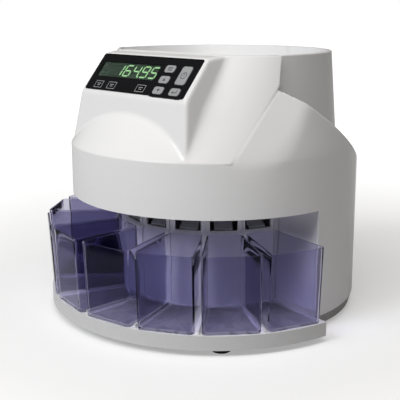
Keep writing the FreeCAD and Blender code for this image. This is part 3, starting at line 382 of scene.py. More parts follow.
def add_piece(mesh: Mesh, finish: Surface, body: str = CASE,
              stands_for: tuple[str, ...] = (), crease: float | None = None) -> None:
    """Finish a mesh and add it to the scene as a piece that rides on a body.

    Args:
        mesh: its mesh, whose name it takes.
        finish: its finish.
        body: the CAD body to ride on.
        stands_for: CAD nodes that the piece replaces.
        crease: angle in degrees above which an edge stays sharp, or None for flat faces.
    """
    mesh.materials.clear()
    mesh.materials.append(finish.material())
    if crease is not None:
        mesh.polygons.foreach_set("use_smooth", np.ones(len(mesh.polygons), bool))
        mesh.set_sharp_from_angle(angle=math.radians(crease))
    piece = add_object(mesh.name, mesh)
    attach(piece, body)
    if stands_for:
        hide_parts(*stands_for)
    LOG.info("%s: %d faces", piece.name, len(mesh.polygons))


def around_axis(turn: float | Array, reach: float | Array, z: float | Array) -> Array:
    """Points at directions, distances and heights about the drum axis."""
    return np.stack([np.sin(turn) * reach, -np.cos(turn) * reach, z], -1)


@dataclass(frozen=True)
class PanelPlane:
    """The sloping plane that the control panel lies on."""

    top_front: float = 83.6
    top_height: float = 263.5
    tilt: float = 50.4
    length: float = 46.5

    def slope(self) -> tuple[float, float]:
        """Cosine and sine of the tilt."""
        return math.cos(math.radians(self.tilt)), math.sin(math.radians(self.tilt))

    def point(self, down: float | Array, out: float = 0.0) -> tuple[float | Array, float | Array]:
        """Distances ahead of the axis and heights, at distances down the plane and one out of it."""
        cosine, sine = self.slope()
        return self.top_front + cosine * down + sine * out, self.top_height - sine * down + cosine * out

    def lay(self, flat: Array, out: float) -> Array:
        """Points across and up from the panel's middle, laid at a distance out of the plane."""
        ahead, up = self.point(self.length / 2 - flat[:, 1], out)
        return np.stack([flat[:, 0], -ahead, up], -1)


class Places(NamedTuple):
    """Places about the drum axis: distances to the right of it and behind it, and heights."""

    x: Array
    y: Array
    z: Array


@dataclass
class Housing:
    """The white case: drum band and skirt, sloping visor, raised shoulder, hopper wall and console."""

    drum_radius: float = 151.0
    inner_reach: float = 56.0
    wall: float = 3.0
    shell_crease: float = 50.0
    face_skin: float = 1.6
    skirt_bottom: float = 14.0
    opening_front: float = 8.0
    band_bottom: float = 121.0
    band_top: float = 173.0
    rim: float = 266.0
    shoulder_height: float = 212.0
    shoulder_slope: float = 0.633
    shoulder_rear: float = 150.0
    shoulder_lean: float = 0.18
    shoulder_round: float = 4.0
    lean_start: float = 10.0
    lid_blend: float = 30.0
    lid_rounds: int = 8
    edge_turn: float = 71.0
    facet_turn: float = 59.0
    facet_lean: float = 21.2
    facet_distance: float = 202.4
    facet_round: float = 3.0
    seam_low: Triple = (118.8, -92.4, 174.0)
    seam_high: Triple = (123.6, -40.6, 233.8)
    joint_round: float = 1.5
    valley_round: float = 1.0
    visor_front: float = 62.0
    visor_corner: float = 70.0
    visor_spread: float = 5.0
    visor_end_slope: float = 0.3
    visor_end_drop: float = 32.0
    visor_back: float = 28.0
    visor_overlap: float = 2.0
    visor_split: float = 32.0
    tower_radius: float = 119.0
    tower_taper: float = 9 / 116
    tower_setback: float = 4.0
    tower_reach: float = 10.0
    level_top: float = 261.0
    rim_step: float = 0.6
    panel: PanelPlane = PanelPlane()
    brow_lean: float = 9.1
    console_half_width: float = 79.6
    console_flare: float = 0.172
    console_splay: float = 0.144
    console_round: float = 2.6
    flank_round: float = 3.64
    fillet_least: float = 1.5
    fillet_growth: float = 16.0
    fillet_run: float = 45.0
    thin_turn: float = 0.9
    thin_bottom: float = 215.0
    cutouts: tuple[tuple[float, ...], ...] = ((-23.5, 3.7, 48.1, 12.4), (48.5, -4.15, 21.75, 17.75))
    cutout_depth: float = 12.0
    recess_plane: float = 136.0
    recess_half_width: float = 58.0
    recess_bottom: float = 28.0
    recess_top: float = 78.0
    sockets: tuple[Triple, ...] = ((32.0, 27.4, 19.9), (0.0, 15.4, 22.8), (-30.0, 15.4, 12.9))
    socket_height: float = 52.0
    shelf_gap: float = 0.2
    core_radius: float = 100.8
    bay_gap: float = 0.3
    tray_top: float = 20.0
    toe_bottom: float = 3.4
    toe_height: float = 10.5
    toe_radius: float = 148.0
    toe_flare: float = 2.8
    toe_skin: float = 0.8
    turn: Array = field(init=False)
    z: Array = field(init=False)

    def __post_init__(self) -> None:
        """Lay out the directions of the grid's rows and, at the front, the heights of its columns."""
        self.turn, self.z = self.angles(), self.levels()

    def bay_turn(self) -> float:
        """Direction of the bin bay's right-hand end."""
        return math.acos(self.opening_front / self.drum_radius)

    def recess_turn(self) -> float:
        """Direction of the rear pocket's right-hand end."""
        return math.pi - math.asin(self.recess_half_width / self.drum_radius)

    def angles(self) -> Array:
        """Directions of the grid's rows: close together at the console, and on the edges of openings.

        Returns:
            Angles in radians from -180 degrees up.
        """
        stops = (0.0, 62.0, 80.0, math.degrees(self.bay_turn()), math.degrees(self.recess_turn()), 180.0)
        counts = (106, 54, 7, 33, 12)
        parts = [np.linspace(*ends, count, endpoint=False) for *ends, count in zip(stops, stops[1:], counts)]
        right = np.hstack([*parts, stops[-1:]])
        return np.radians(np.hstack([-right[:0:-1], right[:-1]]))

    def levels(self) -> Array:
        """Heights of the grid's columns: close together where the surface lies flat or bends.

        Returns:
            Heights from the skirt's lower edge to the rim.
        """
        edge = self.lid_edge(np.zeros(1))[0]
        skirt = [self.skirt_bottom, 15.0, self.recess_bottom, 44.0, 61.0, self.recess_top, 92.0, 106.0]
        band = [self.band_bottom, 122.0, 134.0, 147.0, 158.0]
        bend = np.linspace(self.band_top - 6, self.band_top + 6, 13)
        crest = edge + np.array([-1.2, -0.6, -0.2, 0.2, 0.6, 1.2])
        return np.hstack([skirt, band, bend, np.linspace(180, edge - 2, 47), crest,
                          np.linspace(edge + 2, self.level_top, 20),
                          np.linspace(self.level_top + 0.4, self.rim - 0.5, 10), [self.rim]])

    def lid_top(self, ahead: Array) -> Array:
        """Height of the shoulder's lid, a slope that levels out at the rear."""
        slope = self.shoulder_height + self.shoulder_slope * ahead
        return smooth_max(slope, np.full_like(ahead, self.shoulder_rear), self.lid_blend)

    def lid_edge(self, turn: Array) -> Array:
        """Height at which the shoulder's wall meets its lid, level in front of the visor's end.

        The wall leans in as it rises, so the height is put right in a few rounds.

        Args:
            turn: directions of the grid's rows.

        Returns:
            Heights, one for each row.
        """
        ahead = np.cos(np.maximum(np.abs(turn), math.radians(self.edge_turn)))
        edge = np.full_like(ahead, self.band_top)
        for _ in range(self.lid_rounds):
            rise = np.maximum(edge - self.band_top - self.lean_start / 2, 0)
            edge = self.lid_top((self.drum_radius - self.shoulder_lean * rise) * ahead)
        return edge

    def heights(self) -> Array:
        """Height of every grid point.

        The columns sink towards the rear, in proportion, so that one of them follows the lid's edge.

        Returns:
            Heights of rows by columns.
        """
        edge, front = self.lid_edge(self.turn)[:, None], self.lid_edge(np.zeros(1))[0]
        z, low, high = self.z, self.band_bottom, self.level_top
        below = low + (z - low) * (edge - low) / (front - low)
        beyond = edge + (z - front) * (high - edge) / (high - front)
        return np.where((z <= low) | (z >= high), z, np.where(z < front, below, beyond))

    def facet_normal(self) -> Array:
        """Direction that the flat facet beside the visor faces, on the right-hand side."""
        turn, rise = math.radians(self.facet_turn), math.radians(self.facet_lean)
        return np.array([math.sin(turn) * math.cos(rise), -math.cos(turn) * math.cos(rise), math.sin(rise)])

    def seam(self, at: Places) -> Array:
        """Distance behind the crease where the visor gives way to the facet.

        The crease lies in a plane that stands upright on the facet and holds the line between two points.

        Args:
            at: the places.

        Returns:
            Signed distances, negative on the visor's side.
        """
        low, high = np.array([self.seam_low, self.seam_high])
        across = np.cross(high - low, self.facet_normal())
        across /= np.linalg.norm(across)
        return np.abs(at.x) * across[0] + at.y * across[1] + at.z * across[2] - across @ low

    def shoulder(self, at: Places) -> Array:
        """Distance to the drum, which leans in under a sloping lid and is cleared for the visor.

        The wall is a cylinder that becomes a cone above the band, and both it and the lid are trimmed
        by the facets.

        Args:
            at: the places.

        Returns:
            Signed distances, negative inside.
        """
        x, y, z = at
        above = z - self.band_top
        lean = np.maximum(np.sqrt(above * above + self.lean_start**2) - self.lean_start + above, 0.0) / 2
        wall = np.hypot(x, y) - self.drum_radius + self.shoulder_lean * lean
        lid = (z - self.lid_top(-y)) / math.hypot(1, self.shoulder_slope)
        normal = self.facet_normal()
        facet = np.abs(x) * normal[0] + y * normal[1] + z * normal[2] - self.facet_distance
        body = smooth_max(smooth_max(wall, lid, self.shoulder_round), facet, self.facet_round)
        cleared = np.maximum(self.seam(at), y + self.visor_back + self.visor_overlap)
        return smooth_max(body, -np.maximum(cleared, -above), self.joint_round)

    def visor_radius(self) -> Array:
        """Radius of the ruled visor at each direction and height.

        Straight lines join the right half of the drum's circle to that of the hopper mouth, which has a
        flat front and a round corner; each height cuts them in a curve that is read row by row.

        Returns:
            Radii of rows by columns.
        """
        flat, corner, back = self.visor_front, self.visor_corner, self.visor_back
        half_back = math.sqrt(self.drum_radius**2 - back**2)
        side = math.sqrt(self.tower_radius**2 - (back + self.tower_setback) ** 2) + self.visor_spread
        centre_x = side - math.sqrt(corner**2 - (back - flat + corner) ** 2)
        share = np.linspace(0, 1, 24)
        across = (2 * share - 1)[len(share) // 2:]
        split, last = math.radians(self.visor_split), math.atan2(half_back, back)
        low_turn = np.hstack([split * across, split + (last - split) * share[1:]])
        first, end = math.pi / 2, math.atan2(back - (flat - corner), side - centre_x)
        bend = first + (end - first) * share[1:]
        top_x = np.hstack([centre_x * across, centre_x + corner * np.cos(bend)])
        top_y = np.hstack([np.full(len(across), flat), flat - corner + corner * np.sin(bend)])
        rise = np.clip((self.z - self.band_top) / (self.rim - self.band_top), 0, 1)[:, None]
        cut_x = self.drum_radius * np.sin(low_turn) * (1 - rise) + top_x * rise
        cut_y = self.drum_radius * np.cos(low_turn) * (1 - rise) + top_y * rise
        curves = zip(np.arctan2(cut_x, cut_y), np.hypot(cut_x, cut_y))
        return np.stack([np.interp(np.abs(self.turn), *curve) for curve in curves], -1)

    def tower(self, at: Places) -> Array:
        """Distance to the upright cone round the back of the hopper, negative inside."""
        radius = self.tower_radius + self.tower_taper * (self.rim - at.z)
        return np.maximum(np.hypot(at.x, at.y - self.tower_setback) - radius,
                          -at.y - self.visor_back - self.tower_reach)

    def console(self, at: Places) -> tuple[Array, Array]:
        """The block of the control panel, bounded by planes with rounded edges.

        Args:
            at: the places.

        Returns:
            Signed distances to the block, and how far each point lies behind its front on the flanks.
        """
        x, ahead, z, panel = at.x, -at.y, at.z, self.panel
        front, height = panel.point(panel.length)
        cosine, sine = panel.slope()
        lean = math.radians(self.brow_lean)
        slope = math.sqrt(1 + self.console_flare**2 + self.console_splay**2)
        side = (np.abs(x) - self.console_half_width - self.console_splay * (front - ahead)
                - self.console_flare * (height - z)) / slope
        face = (ahead - panel.top_front) * sine + (z - panel.top_height) * cosine
        brow = (ahead - front - math.tan(lean) * (height - z)) * math.cos(lean)
        run, drop = panel.top_front - self.visor_front, self.rim - panel.top_height
        top = ((ahead - self.visor_front) * drop + (z - self.rim) * run) / math.hypot(run, drop)
        block = smooth_max(smooth_max(face, brow, self.console_round), top, self.console_round)
        block = smooth_max(block, side, self.flank_round)
        return np.maximum(block, self.visor_back - ahead), side - np.maximum(face, brow)

    def openings(self, at: Places) -> Array:
        """Distance to the openings behind display and keys.

        Args:
            at: the places.

        Returns:
            Signed distances, negative inside an opening.
        """
        cosine, sine = self.panel.slope()
        front, height = self.panel.point(self.panel.length / 2)
        ahead, up = -at.y - front, at.z - height
        along, out = up * sine - ahead * cosine, ahead * sine + up * cosine
        cuts = [np.maximum(np.abs(at.x - across) - half_wide, np.abs(along - middle) - half_tall)
                for across, middle, half_wide, half_tall in self.cutouts]
        return np.maximum(np.minimum(*cuts), -self.cutout_depth - out)

    def radii(self) -> Array:
        """Radius of the outer surface at each direction and height.

        Shoulder, tower, visor and console are joined with soft valleys into one field, and each level
        line is followed outwards, in steps of 1 mm, to the last place where that field is crossed.

        Returns:
            Radii of rows by columns.
        """
        steps = np.arange(self.inner_reach, self.drum_radius + 2, 1.0)
        tall, straight = self.heights(), self.visor_radius()
        ruled, slope = (np.stack([np.interp(level, self.z, row) for level, row in zip(tall, grid)])
                        for grid in (straight, np.gradient(straight, self.z, axis=1)))
        x, y = np.sin(self.turn)[:, None] * steps, -np.cos(self.turn)[:, None] * steps
        found, row = np.empty_like(tall), np.arange(len(tall))
        for column, height in enumerate(self.z):
            at = Places(x, y, np.broadcast_to(tall[:, [column]], x.shape))
            total = self.shoulder(at)
            if height >= self.band_top:
                visor = (steps - ruled[:, [column]]) / np.sqrt(1 + slope[:, [column]] ** 2)
                drop = np.clip(self.rim - at.z, 0, self.visor_end_drop)
                visor = smooth_max(visor, y + self.visor_back + self.visor_end_slope * drop, self.joint_round)
                visor = smooth_max(visor, self.seam(at), self.joint_round)
                total = smooth_min(total, self.tower(at), self.joint_round)
                total = smooth_min(total, visor, self.valley_round)
                block, behind = self.console(at)
                fillet = self.fillet_least + self.fillet_growth * np.clip(behind / self.fillet_run, 0, 1)
                total = smooth_min(total, block, fillet)
                total = np.maximum(total, -self.openings(at))
            last = np.clip(len(steps) - 1 - np.argmax((total <= 0)[:, ::-1], 1), 0, len(steps) - 2)
            here, there = total[row, last], total[row, last + 1]
            found[:, column] = steps[last] + np.clip(here / (here - there), 0, 1)
        return np.minimum(found, self.drum_radius)

    @staticmethod
    def add(name: str, outer: Array, inner: Array, keep: Array | None = None,
            crease: float = WALL_CREASE) -> None:
        """Add the wall between two grids as a piece of the white case."""
        mesh = shell_mesh(name, outer, inner, keep)
        add_piece(mesh, WHITE_SHELL, stands_for=("main_housing",), crease=crease)

    def build(self) -> None:
        """Make the case with its wall thickness, the bay's walls, the rear pocket and the band of painted
        shade round the toe.
        """
        turn, tall, radius = self.turn, self.heights(), self.radii()
        radius[:, -1] = radius[:, -2] - self.rim_step
        thin = (np.abs(turn)[:, None] < self.thin_turn) & (tall > self.thin_bottom)
        outer, inner = (around_axis(turn[:, None], reach, tall)
                        for reach in (radius, radius - np.where(thin, self.face_skin, self.wall)))
        middle = turn + np.diff(np.append(turn, turn[0] + 2 * math.pi)) / 2
        middle = np.abs((middle + math.pi) % (2 * math.pi) - math.pi)[:, None]
        height = (self.z[1:] + self.z[:-1]) / 2
        bay = (middle < self.bay_turn()) & (height < self.band_bottom)
        recess = (middle > self.recess_turn()) & (height > self.recess_bottom) & (height < self.recess_top)
        self.add("housing_shell", outer, inner, ~bay & ~recess, self.shell_crease)
        self.bay_walls()
        self.rear_pocket()
        self.painted_toe_shade()

    def painted_toe_shade(self) -> None:
        """A thin dark cone of painted shade round the base's toe, from side to side round the back, standing
        for the shade under the case's lower edge.
        """
        turn = np.linspace(self.bay_turn(), 2 * math.pi - self.bay_turn(), 121)[:, None]
        share = np.linspace(0, 1, 4)
        z = np.broadcast_to(self.toe_bottom + self.toe_height * share, (turn.size, share.size))
        outer, inner = (around_axis(turn, reach + self.toe_flare * share, z)
                        for reach in (self.toe_radius, self.toe_radius - self.toe_skin))
        # The band is painted shade along the base's lower edge, in the dark grey above.
        add_piece(shell_mesh("painted_toe_shade", outer, inner), TOE_PAINTED_SHADE, crease=WALL_CREASE)

    @staticmethod
    def upright(across: Array, up: Array, depths: tuple[float, float]) -> list[Array]:
        """Two grids that stand across the machine at two distances behind the axis."""
        grid_x, grid_z = np.meshgrid(across, up, indexing="ij")
        return [np.stack([grid_x, np.full_like(grid_x, depth), grid_z], -1) for depth in depths]

    def bay_walls(self) -> None:
        """The two flat walls that close the skirt beside the bins."""
        plane = self.opening_front
        ends = [math.sqrt(reach**2 - plane**2)
                for reach in (self.core_radius, self.drum_radius - self.wall - self.bay_gap)]
        up = np.linspace(self.tray_top, self.band_bottom, 6)
        for side, name in ((-1, "bay_wall_left"), (1, "bay_wall_right")):
            faces = self.upright(np.linspace(*ends, 8) * side, up, (-plane, -plane + self.wall))
            self.add(name, *faces[::side])

    def rear_pocket(self) -> None:
        """The sunk rear wall with its three socket openings, and the shelves above and below it."""
        half, low, high = self.recess_half_width + self.wall, self.recess_bottom, self.recess_top
        middle, (x, wide, tall) = self.socket_height, np.array(self.sockets).T
        across = np.unique([-half, half, *(x - wide / 2), *(x + wide / 2)])
        up = np.unique([low - self.wall, high + self.wall, *(middle - tall / 2), *(middle + tall / 2)])
        mid_x, mid_z = ((edges[1:] + edges[:-1]) / 2 for edges in (across, up))
        hole_x, hole_z = np.abs(mid_x[:, None] - x) < wide / 2, np.abs(mid_z[:, None] - middle) < tall / 2
        keep = ~(hole_x[:, None] & hole_z).any(-1)
        depths = (self.recess_plane - self.wall, self.recess_plane)
        self.add("rear_wall", *self.upright(across, up, depths), keep)
        inside = self.recess_half_width - self.shelf_gap
        span = np.linspace(-inside, inside, 41)
        rim = np.sqrt((self.drum_radius - self.wall - self.shelf_gap) ** 2 - span**2)
        back = np.full_like(span, self.recess_plane)
        ends = np.stack([back, np.maximum(rim, back + self.shelf_gap)], -1)
        flat_x = np.repeat(span[:, None], 2, 1)
        for name, bottom in (("rear_shelf_low", low - self.wall), ("rear_shelf_high", high)):
            self.add(name, *(np.stack([flat_x, ends, np.full_like(ends, height)], -1)
                             for height in (bottom + self.wall, bottom)))


@dataclass
class CoinBin:
    """One see-through bin of the fan: a drafted cup with round corners, edges and rim."""

    number: int
    pitch: float = 20.4
    half_angle: float = 9.15
    rear: float = 104.0
    front: float = 178.0
    draft: float = 3.5
    bottom: float = 20.0
    top: float = 95.0
    wall: float = 1.8
    corner: float = 5.0
    least_corner: float = 0.3
    crease: float = 50.0

    def ring(self, inset: float, height: float) -> Array:
        """The cup's outline at a height, moved inwards by an inset.

        A flat front and rear across the wedge's middle line and two sides in radial planes, joined by
        corner arcs whose centres lie a corner radius inside both of their neighbours. Straight runs have
        points close to both ends.

        Args:
            inset: how far inside the outer face.
            height: the height, which sets the draft.

        Returns:
            Points round the outline.
        """
        half = math.radians(self.half_angle)
        front = self.front - self.draft * (self.top - height) / (self.top - self.bottom) - inset
        rear = self.rear + inset
        bend = max(self.corner - inset, self.least_corner)
        side, mirror = half + math.pi / 2, np.array([-1.0, 1.0])
        arcs = []
        for ahead, first, last in ((front - bend, 0.0, side), (rear + bend, side, math.pi)):
            middle = (ahead * math.tan(half) - (inset + bend) / math.cos(half), -ahead)
            arcs.append(middle + around_axis(np.linspace(first, last, 9), bend, np.zeros(9))[:, :2])
        far, near = arcs
        along = np.array([0.03, 0.3, 0.7, 0.97])[:, None]
        ahead, flank, behind = (start + (end - start) * along for start, end in (
            (far[0] * mirror, far[0]), (far[-1], near[0]), (near[-1], near[-1] * mirror)))
        right = np.vstack([far, flank, near])
        loop = np.vstack([ahead, right, behind, right[::-1] * mirror])
        return np.column_stack([loop, np.full(len(loop), height)])

    def build(self) -> None:
        """Carry the outline along the cup's section.

        The section is a list of insets and heights: under the floor, up the wall, over the rim and down
        inside. Shrunken outlines close the floor on both sides.
        """
        wall, low, high = self.wall, self.bottom, self.top
        section = [(1.6, low), (0.5, low + 0.35), (0.0, low + 1.5), (0.0, low + 26), (0.0, low + 52),
                   (0.0, high - 0.6), (0.25, high - 0.15), (0.7, high),
                   (wall - 0.7, high), (wall - 0.25, high - 0.15), (wall, high - 0.6),
                   (wall, low + 52), (wall, low + 26), (wall, low + wall + 2.4),
                   (wall + 0.8, low + wall + 0.7), (wall + 2.4, low + wall)]
        rings = [self.ring(inset, height) for inset, height in section]
        below, above = ([base.mean(0) + (base - base.mean(0)) * share for share in (0.6, 0.2, 0.01)]
                        for base in (rings[0], rings[-1]))
        grid = np.stack(below[::-1] + rings + above, 1)
        count, levels, _ = grid.shape
        faces = grid_quads(count, levels, True).reshape(-1, 4).tolist()
        for cap in (np.arange(count)[::-1] * levels, np.arange(count) * levels + levels - 1):
            faces += np.stack([np.full(count - 2, cap[0]), cap[1:-1], cap[2:]], -1).tolist()
        turn = math.radians((self.number - (BIN_COUNT + 1) / 2) * self.pitch)
        cosine, sine = math.cos(turn), math.sin(turn)
        spin = np.array([[cosine, -sine, 0], [sine, cosine, 0], [0, 0, 1]])
        mesh = make_mesh(f"clear_bin_{self.number}", grid.reshape(-1, 3) @ spin.T, faces)
        add_piece(mesh, SMOKE, f"bin_{self.number}", (f"coin_bin_{self.number}",), self.crease)


@dataclass
class ConsoleFace:
    """What is printed and lit on the control panel: digits, key signs and legend frames."""

    panel: PanelPlane = PanelPlane()
    panel_top: float = 0.3
    key_top: float = 1.1
    digit_top: float = -1.2
    lift: float = 0.06
    stroke: float = 0.17
    slant: float = 0.12
    shrink: float = 0.97
    bar_inset: float = 0.05
    dot_place: float = 0.75
    digits: str = "164.95"
    digit_left: float = -43.0
    digit_base: float = -2.5
    digit_wide: float = 9.0
    digit_tall: float = 12.4
    digit_gap: float = 4.2
    legends: tuple[tuple[float, float], ...] = ((-55.9, 12.0), (-35.0, 12.6), (10.0, 12.8))
    legend_row: float = -15.5
    legend_tall: float = 8.0
    legend_line: float = 0.4
    text_line: float = 0.6
    sign_line: float = 0.7
    key_columns: tuple[float, float] = (37.0, 60.0)

    def add(self, name: str, outlines: list[Array], height: float, finish: Surface, slot: str,
            body: str = CASE) -> None:
        """Add thin plates with the given outlines, standing on a height, as one piece.

        Args:
            name: the piece's name.
            outlines: closed outlines, counter-clockwise.
            height: distance of their underside out of the face.
            finish: the finish.
            slot: the record's material slot; not used.
            body: the body to ride on.
        """
        points, faces, start = [], [], 0
        for shape in outlines:
            count = len(shape)
            points += [self.panel.lay(shape, out) for out in (height, height + self.lift)]
            bottom = start + np.arange(count)
            top = bottom + count
            around = np.stack([bottom, np.roll(bottom, -1), np.roll(top, -1), top], -1)
            faces += [top.tolist(), bottom[::-1].tolist(), *around.tolist()]
            start += 2 * count
        add_piece(make_mesh(name, np.vstack(points), faces), finish, body)

    def segments(self) -> list[Array]:
        """Outlines of slanted seven-segment figures.

        Returns:
            One six-sided outline for each lit segment, and a square for each point.
        """
        wide, tall, base, gap = self.digit_wide, self.digit_tall, self.digit_base, self.digit_gap
        lit = {"1": "bc", "4": "fgbc", "5": "afgcd", "6": "afgedc", "9": "abcdfg"}
        thick, half = wide * self.stroke, tall / 2
        edge = thick / 2
        bar = np.array([[0, 0], [edge, -edge], [wide - edge, -edge], [wide, 0], [wide - edge, edge],
                        [edge, edge]]) * (1 - 2 * self.bar_inset, 1)
        post = np.array([[0, 0], [edge, edge], [edge, half - edge], [0, half], [-edge, half - edge],
                         [-edge, edge]])
        nudge = self.bar_inset * wide
        spots = {"a": (bar, nudge, tall), "g": (bar, nudge, half), "d": (bar, nudge, 0),
                 "f": (post, 0, half), "e": (post, 0, 0), "b": (post, wide, half), "c": (post, wide, 0)}
        outlines, cursor = [], self.digit_left
        for sign in self.digits:
            if sign == ".":
                corner = (cursor - gap * self.dot_place, base - edge)
                outlines.append((SQUARE + 0.5) * thick + corner)
                continue
            for key in lit[sign]:
                shape, x, y = spots[key]
                across, up = (shape * self.shrink + (x, y)).T
                outlines.append(np.stack([across + up * self.slant + cursor, up + base], -1))
            cursor += wide + gap
        return outlines

    @staticmethod
    def frame(x: float, y: float, wide: float, tall: float, line: float) -> list[Array]:
        """Four bars of a thickness round a rectangle, given by its middle and its outer size."""
        level, upright = (wide, line), (line, tall - 2 * line)
        return [SQUARE * size + (x + a * (wide - line) / 2, y + b * (tall - line) / 2)
                for a, b, size in ((0, 1, level), (0, -1, level), (1, 0, upright), (-1, 0, upright))]

    @staticmethod
    def ring(radius: float, line: float) -> list[Array]:
        """A round frame, as short bars that touch end to end.

        Args:
            radius: middle radius of the line.
            line: thickness of the line.

        Returns:
            Outlines round the origin.
        """
        turn = np.linspace(0, 2 * math.pi, 25)
        inner, outer = (np.stack([np.cos(turn), np.sin(turn)], -1) * reach
                        for reach in (radius - line / 2, radius + line / 2))
        return list(np.stack([inner[:-1], outer[:-1], outer[1:], inner[1:]], 1))

    def build(self) -> None:
        """Make the digits, the legend frames and the key signs."""
        self.add("display_digits", self.segments(), self.digit_top, DIGIT_GREEN, "display")
        marks = []
        for x, wide in self.legends:
            marks += self.frame(x, self.legend_row, wide, self.legend_tall, self.legend_line)
        for x, _ in self.legends:
            marks += [SQUARE * (wide, self.text_line) + (x, self.legend_row + up)
                      for wide, up in ((6.0, 1.0), (4.0, -1.0))]
        self.add("legend_frames", marks, self.panel_top, MARK_PALE, "key_grey")
        line, thin = self.sign_line, self.text_line
        arrow = np.array([[-1.9, -1.4], [1.9, -1.4], [0.0, 1.7]])
        head = np.array([[-3.8, -0.8], [-1.6, -2.2], [-1.6, 0.6]])
        lines = [SQUARE * (6.4, line) + (0, up) for up in (-1.5, 0.0, 1.5)]
        power = self.ring(3.4, thin) + [SQUARE * (thin, 2.6) + (0, 1)]
        hook = [SQUARE * (5.4, line) + (0.2, -0.8), SQUARE * (line, 2.6) + (2.6, 0.8), head]
        left, right = self.key_columns
        signs = (("up", (left, -3.7), [arrow]), ("down", (left, -16.0), [arrow[::-1] * (1, -1)]),
                 ("mode", (left, 8.6), lines), ("start", (right, 2.4), power),
                 ("enter", (right, -16.0), hook))
        for key, middle, outlines in signs:
            placed = [shape + middle for shape in outlines]
            self.add(f"{key}_sign", placed, self.key_top, MARK_DARK, "panel_black", f"{key}_button")


@dataclass
class CadDressing:
    """Finishes for the CAD nodes that are shown as they are, or as smoothly shaded copies."""

    copies: dict[str, Surface] = field(default_factory=lambda: {
        "hopper_bowl": HOPPER_WHITE, "base_tray": PALE_BASE, "rubber_feet": RUBBER,
        "inner_wall": HOPPER_WHITE, "coin_disc": DISC_GREY, "disc_cap": DISC_GREY,
        "control_panel": PANEL_BLACK, "mode_key": KEY_GREY, "up_key": KEY_GREY, "down_key": KEY_GREY,
        "start_key": KEY_GREY, "enter_key": KEY_GREY, "display_window": PANE, "track_plate": ALLOY,
        "deck_plate": DECK_GREY})
    plain: dict[Surface, tuple[str, ...]] = field(default_factory=lambda: {
        STEEL: ("case_screws", "track_screws", "disc_spindle", "motor_shaft", "motor_screws"),
        BRONZE: ("spindle_bearing", "inlet_pins"), GEAR_WHITE: ("driven_gear", "motor_pinion"),
        ALLOY: ("drive_motor", "power_supply"), DECK_GREY: ("coin_chutes",), DISPLAY_DARK: ("lcd_module",),
        BOARD_GREEN: ("sensor_board", "keypad_board", "main_board"),
        SOCKET_BLACK: ("power_inlet", "switch_frame", "power_rocker", "printer_port")})
    flat_slots: tuple[str, ...] = ("panel_black", "key_grey", "display")
    flat_crease: float = 2.0
    round_crease: float = 28.0
    merge: float = 1e-6

    def build(self, frame: dict) -> None:
        """Finish the plain nodes, and replace the others by copies with merged corners and smooth faces.
        """
        record = frame["record"]
        bodies = {node: body for body, nodes in record["behaviour"]["bodies"].items() for node in nodes}
        slots = {part["node"]: part["material_slot"] for part in record["subparts"]}
        for finish, nodes in self.plain.items():
            for node in nodes:
                mesh = frame["nodes"][node].data
                mesh.materials.clear()
                mesh.materials.append(finish.material())
        for node, finish in self.copies.items():
            mesh = frame["nodes"][node].data.copy()
            mesh.name = node + "_smooth"
            work = bmesh.new()
            work.from_mesh(mesh)
            bmesh.ops.remove_doubles(work, verts=work.verts, dist=self.merge)
            work.to_mesh(mesh)
            work.free()
            crease = self.flat_crease if slots[node] in self.flat_slots else self.round_crease
            add_piece(mesh, finish, bodies[node], (node,), crease)


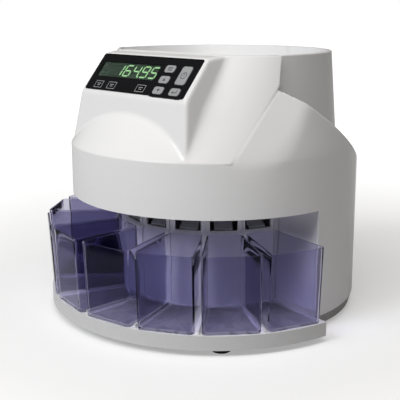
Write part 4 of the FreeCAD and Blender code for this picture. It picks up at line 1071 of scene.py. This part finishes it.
@dataclass
class Studio:
    """The pale floor, the sky, the soft lamps and the camera."""

    azimuth: float = 45.74
    distance: float = 859.9
    height: float = 309.1
    pitch: float = 12.83
    lens: float = 73.0
    shift: tuple[float, float] = (-0.036, -0.0195)
    sensor: float = 36.0
    gloss_share: float = 0.3
    clear_walls: int = 32
    floor_half: float = 40.0
    lamps: tuple[tuple[str, Triple, Triple, float, float, Colour], ...] = (
        ("key_lamp", (-0.25, -1.95, 1.75), (0.0, -0.02, 0.14), 1.1, 38.0, (0.97, 0.98, 1.0)),
        ("top_lamp", (0.5, -0.5, 2.05), (0.0, 0.0, 0.1), 1.2, 22.0, (1.0, 0.97, 0.93)))

    def build(self) -> None:
        """Make the stage."""
        self.floor()
        self.world()
        self.light_paths()
        self.hang_lamps()
        self.camera()

    def seen_share(self, graph: Graph) -> Node:
        """Nodes that give 1 where the camera or clear plastic looks, a part of it in gloss, and else 0.

        Args:
            graph: the nodes of the floor or the world.

        Returns:
            The node that gives the share.
        """
        path, clear, seen = graph.add("LightPath"), graph.add("Math"), graph.add("Math")
        clear.operation, clear.use_clamp, seen.operation = "MULTIPLY_ADD", True, "MAXIMUM"
        clear.inputs[1].default_value = self.gloss_share
        graph.join((path, "Is Glossy Ray", clear, 0), (path, "Is Transmission Ray", clear, 2),
                   (path, "Is Camera Ray", seen, 0), (clear, 0, seen, 1))
        return seen

    def floor(self) -> None:
        """A wide pale floor that keeps the shadow and fades to white for the camera."""
        mesh = bpy.data.meshes.new("floor")
        corners = np.pad(2 * self.floor_half * SQUARE, ((0, 0), (0, 1)))
        mesh.from_pydata(corners.tolist(), [], [(0, 1, 2, 3)])
        floor = add_object("floor", mesh)
        material = bpy.data.materials.new("floor_white")
        material.use_nodes = True
        graph = Graph(material.node_tree)
        shader = graph.put(graph.shader, Roughness=0.6, Emission_Color=(1, 1, 1, 1))
        place = graph.cloud((0.62, 0.62, 0.625), (0.6, 0.6, 0.6), "Base Color", Scale=3.0, Detail=3.0)
        reach, glow, seen = graph.add("VectorMath"), graph.add("Math"), self.seen_share(graph)
        reach.operation, glow.operation = "LENGTH", "MULTIPLY"
        far = graph.add("MapRange", From_Min=0.25, From_Max=1.1, To_Min=0.36, To_Max=1.0)
        graph.join((place, "Object", reach, 0), (reach, "Value", far, "Value"), (seen, 0, glow, 0),
                   (far, "Result", glow, 1), (glow, 0, shader, "Emission Strength"))
        mesh.materials.append(material)

    def world(self) -> None:
        """A soft even sky, white where the camera or clear plastic sees it and dimmer in gloss."""
        world = bpy.data.worlds.new("studio")
        bpy.context.scene.world = world
        world.use_nodes = True
        graph, nodes = Graph(world.node_tree), world.node_tree.nodes
        sky = graph.put(nodes["Background"], Color=(1.0, 0.955, 0.9, 1), Strength=0.05)
        white, mix = graph.add("Background", Color=(1, 1, 1, 1)), graph.add("MixShader")
        graph.join((self.seen_share(graph), 0, mix, "Fac"), (sky, "Background", mix, 1),
                   (white, "Background", mix, 2), (mix, "Shader", nodes["World Output"], "Surface"))

    def light_paths(self) -> None:
        """Let light pass every clear wall where bins stand behind each other."""
        paths = bpy.context.scene.cycles
        paths.max_bounces = paths.transmission_bounces = self.clear_walls

    def hang_lamps(self) -> None:
        """Hang square soft lamps that point at their targets, with sizes in metres and watts."""
        for name, place, target, size, power, colour in self.lamps:
            data = bpy.data.lights.new(name, "AREA")
            data.size, data.energy, data.color = size, power, colour
            lamp = add_object(name, data)
            lamp.location = place
            x, y, z = np.subtract(target, place)
            lamp.rotation_euler = (math.atan2(np.hypot(x, y), -z), 0, -math.atan2(x, y))

    def camera(self) -> None:
        """The camera of the photograph's view."""
        data = bpy.data.cameras.new("camera")
        data.sensor_width, data.lens = self.sensor, self.lens
        data.shift_x, data.shift_y = self.shift
        camera = add_object("camera", data)
        turn = math.radians(self.azimuth)
        camera.location = to_frame(around_axis(turn, self.distance, self.height))
        camera.rotation_euler = (math.radians(90 - self.pitch), 0, turn)
        bpy.context.scene.camera = camera


def main() -> None:
    """Load the frame, dress it, light it and note its size."""
    logging.basicConfig(level=logging.INFO, format="%(name)s: %(message)s")
    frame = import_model()
    bpy.context.scene.view_settings.view_transform = "Standard"
    Housing().build()
    for number in range(1, BIN_COUNT + 1):
        CoinBin(number).build()
    ConsoleFace().build()
    CadDressing().build(frame)
    Studio().build()


if __name__ == "__main__":
    main()
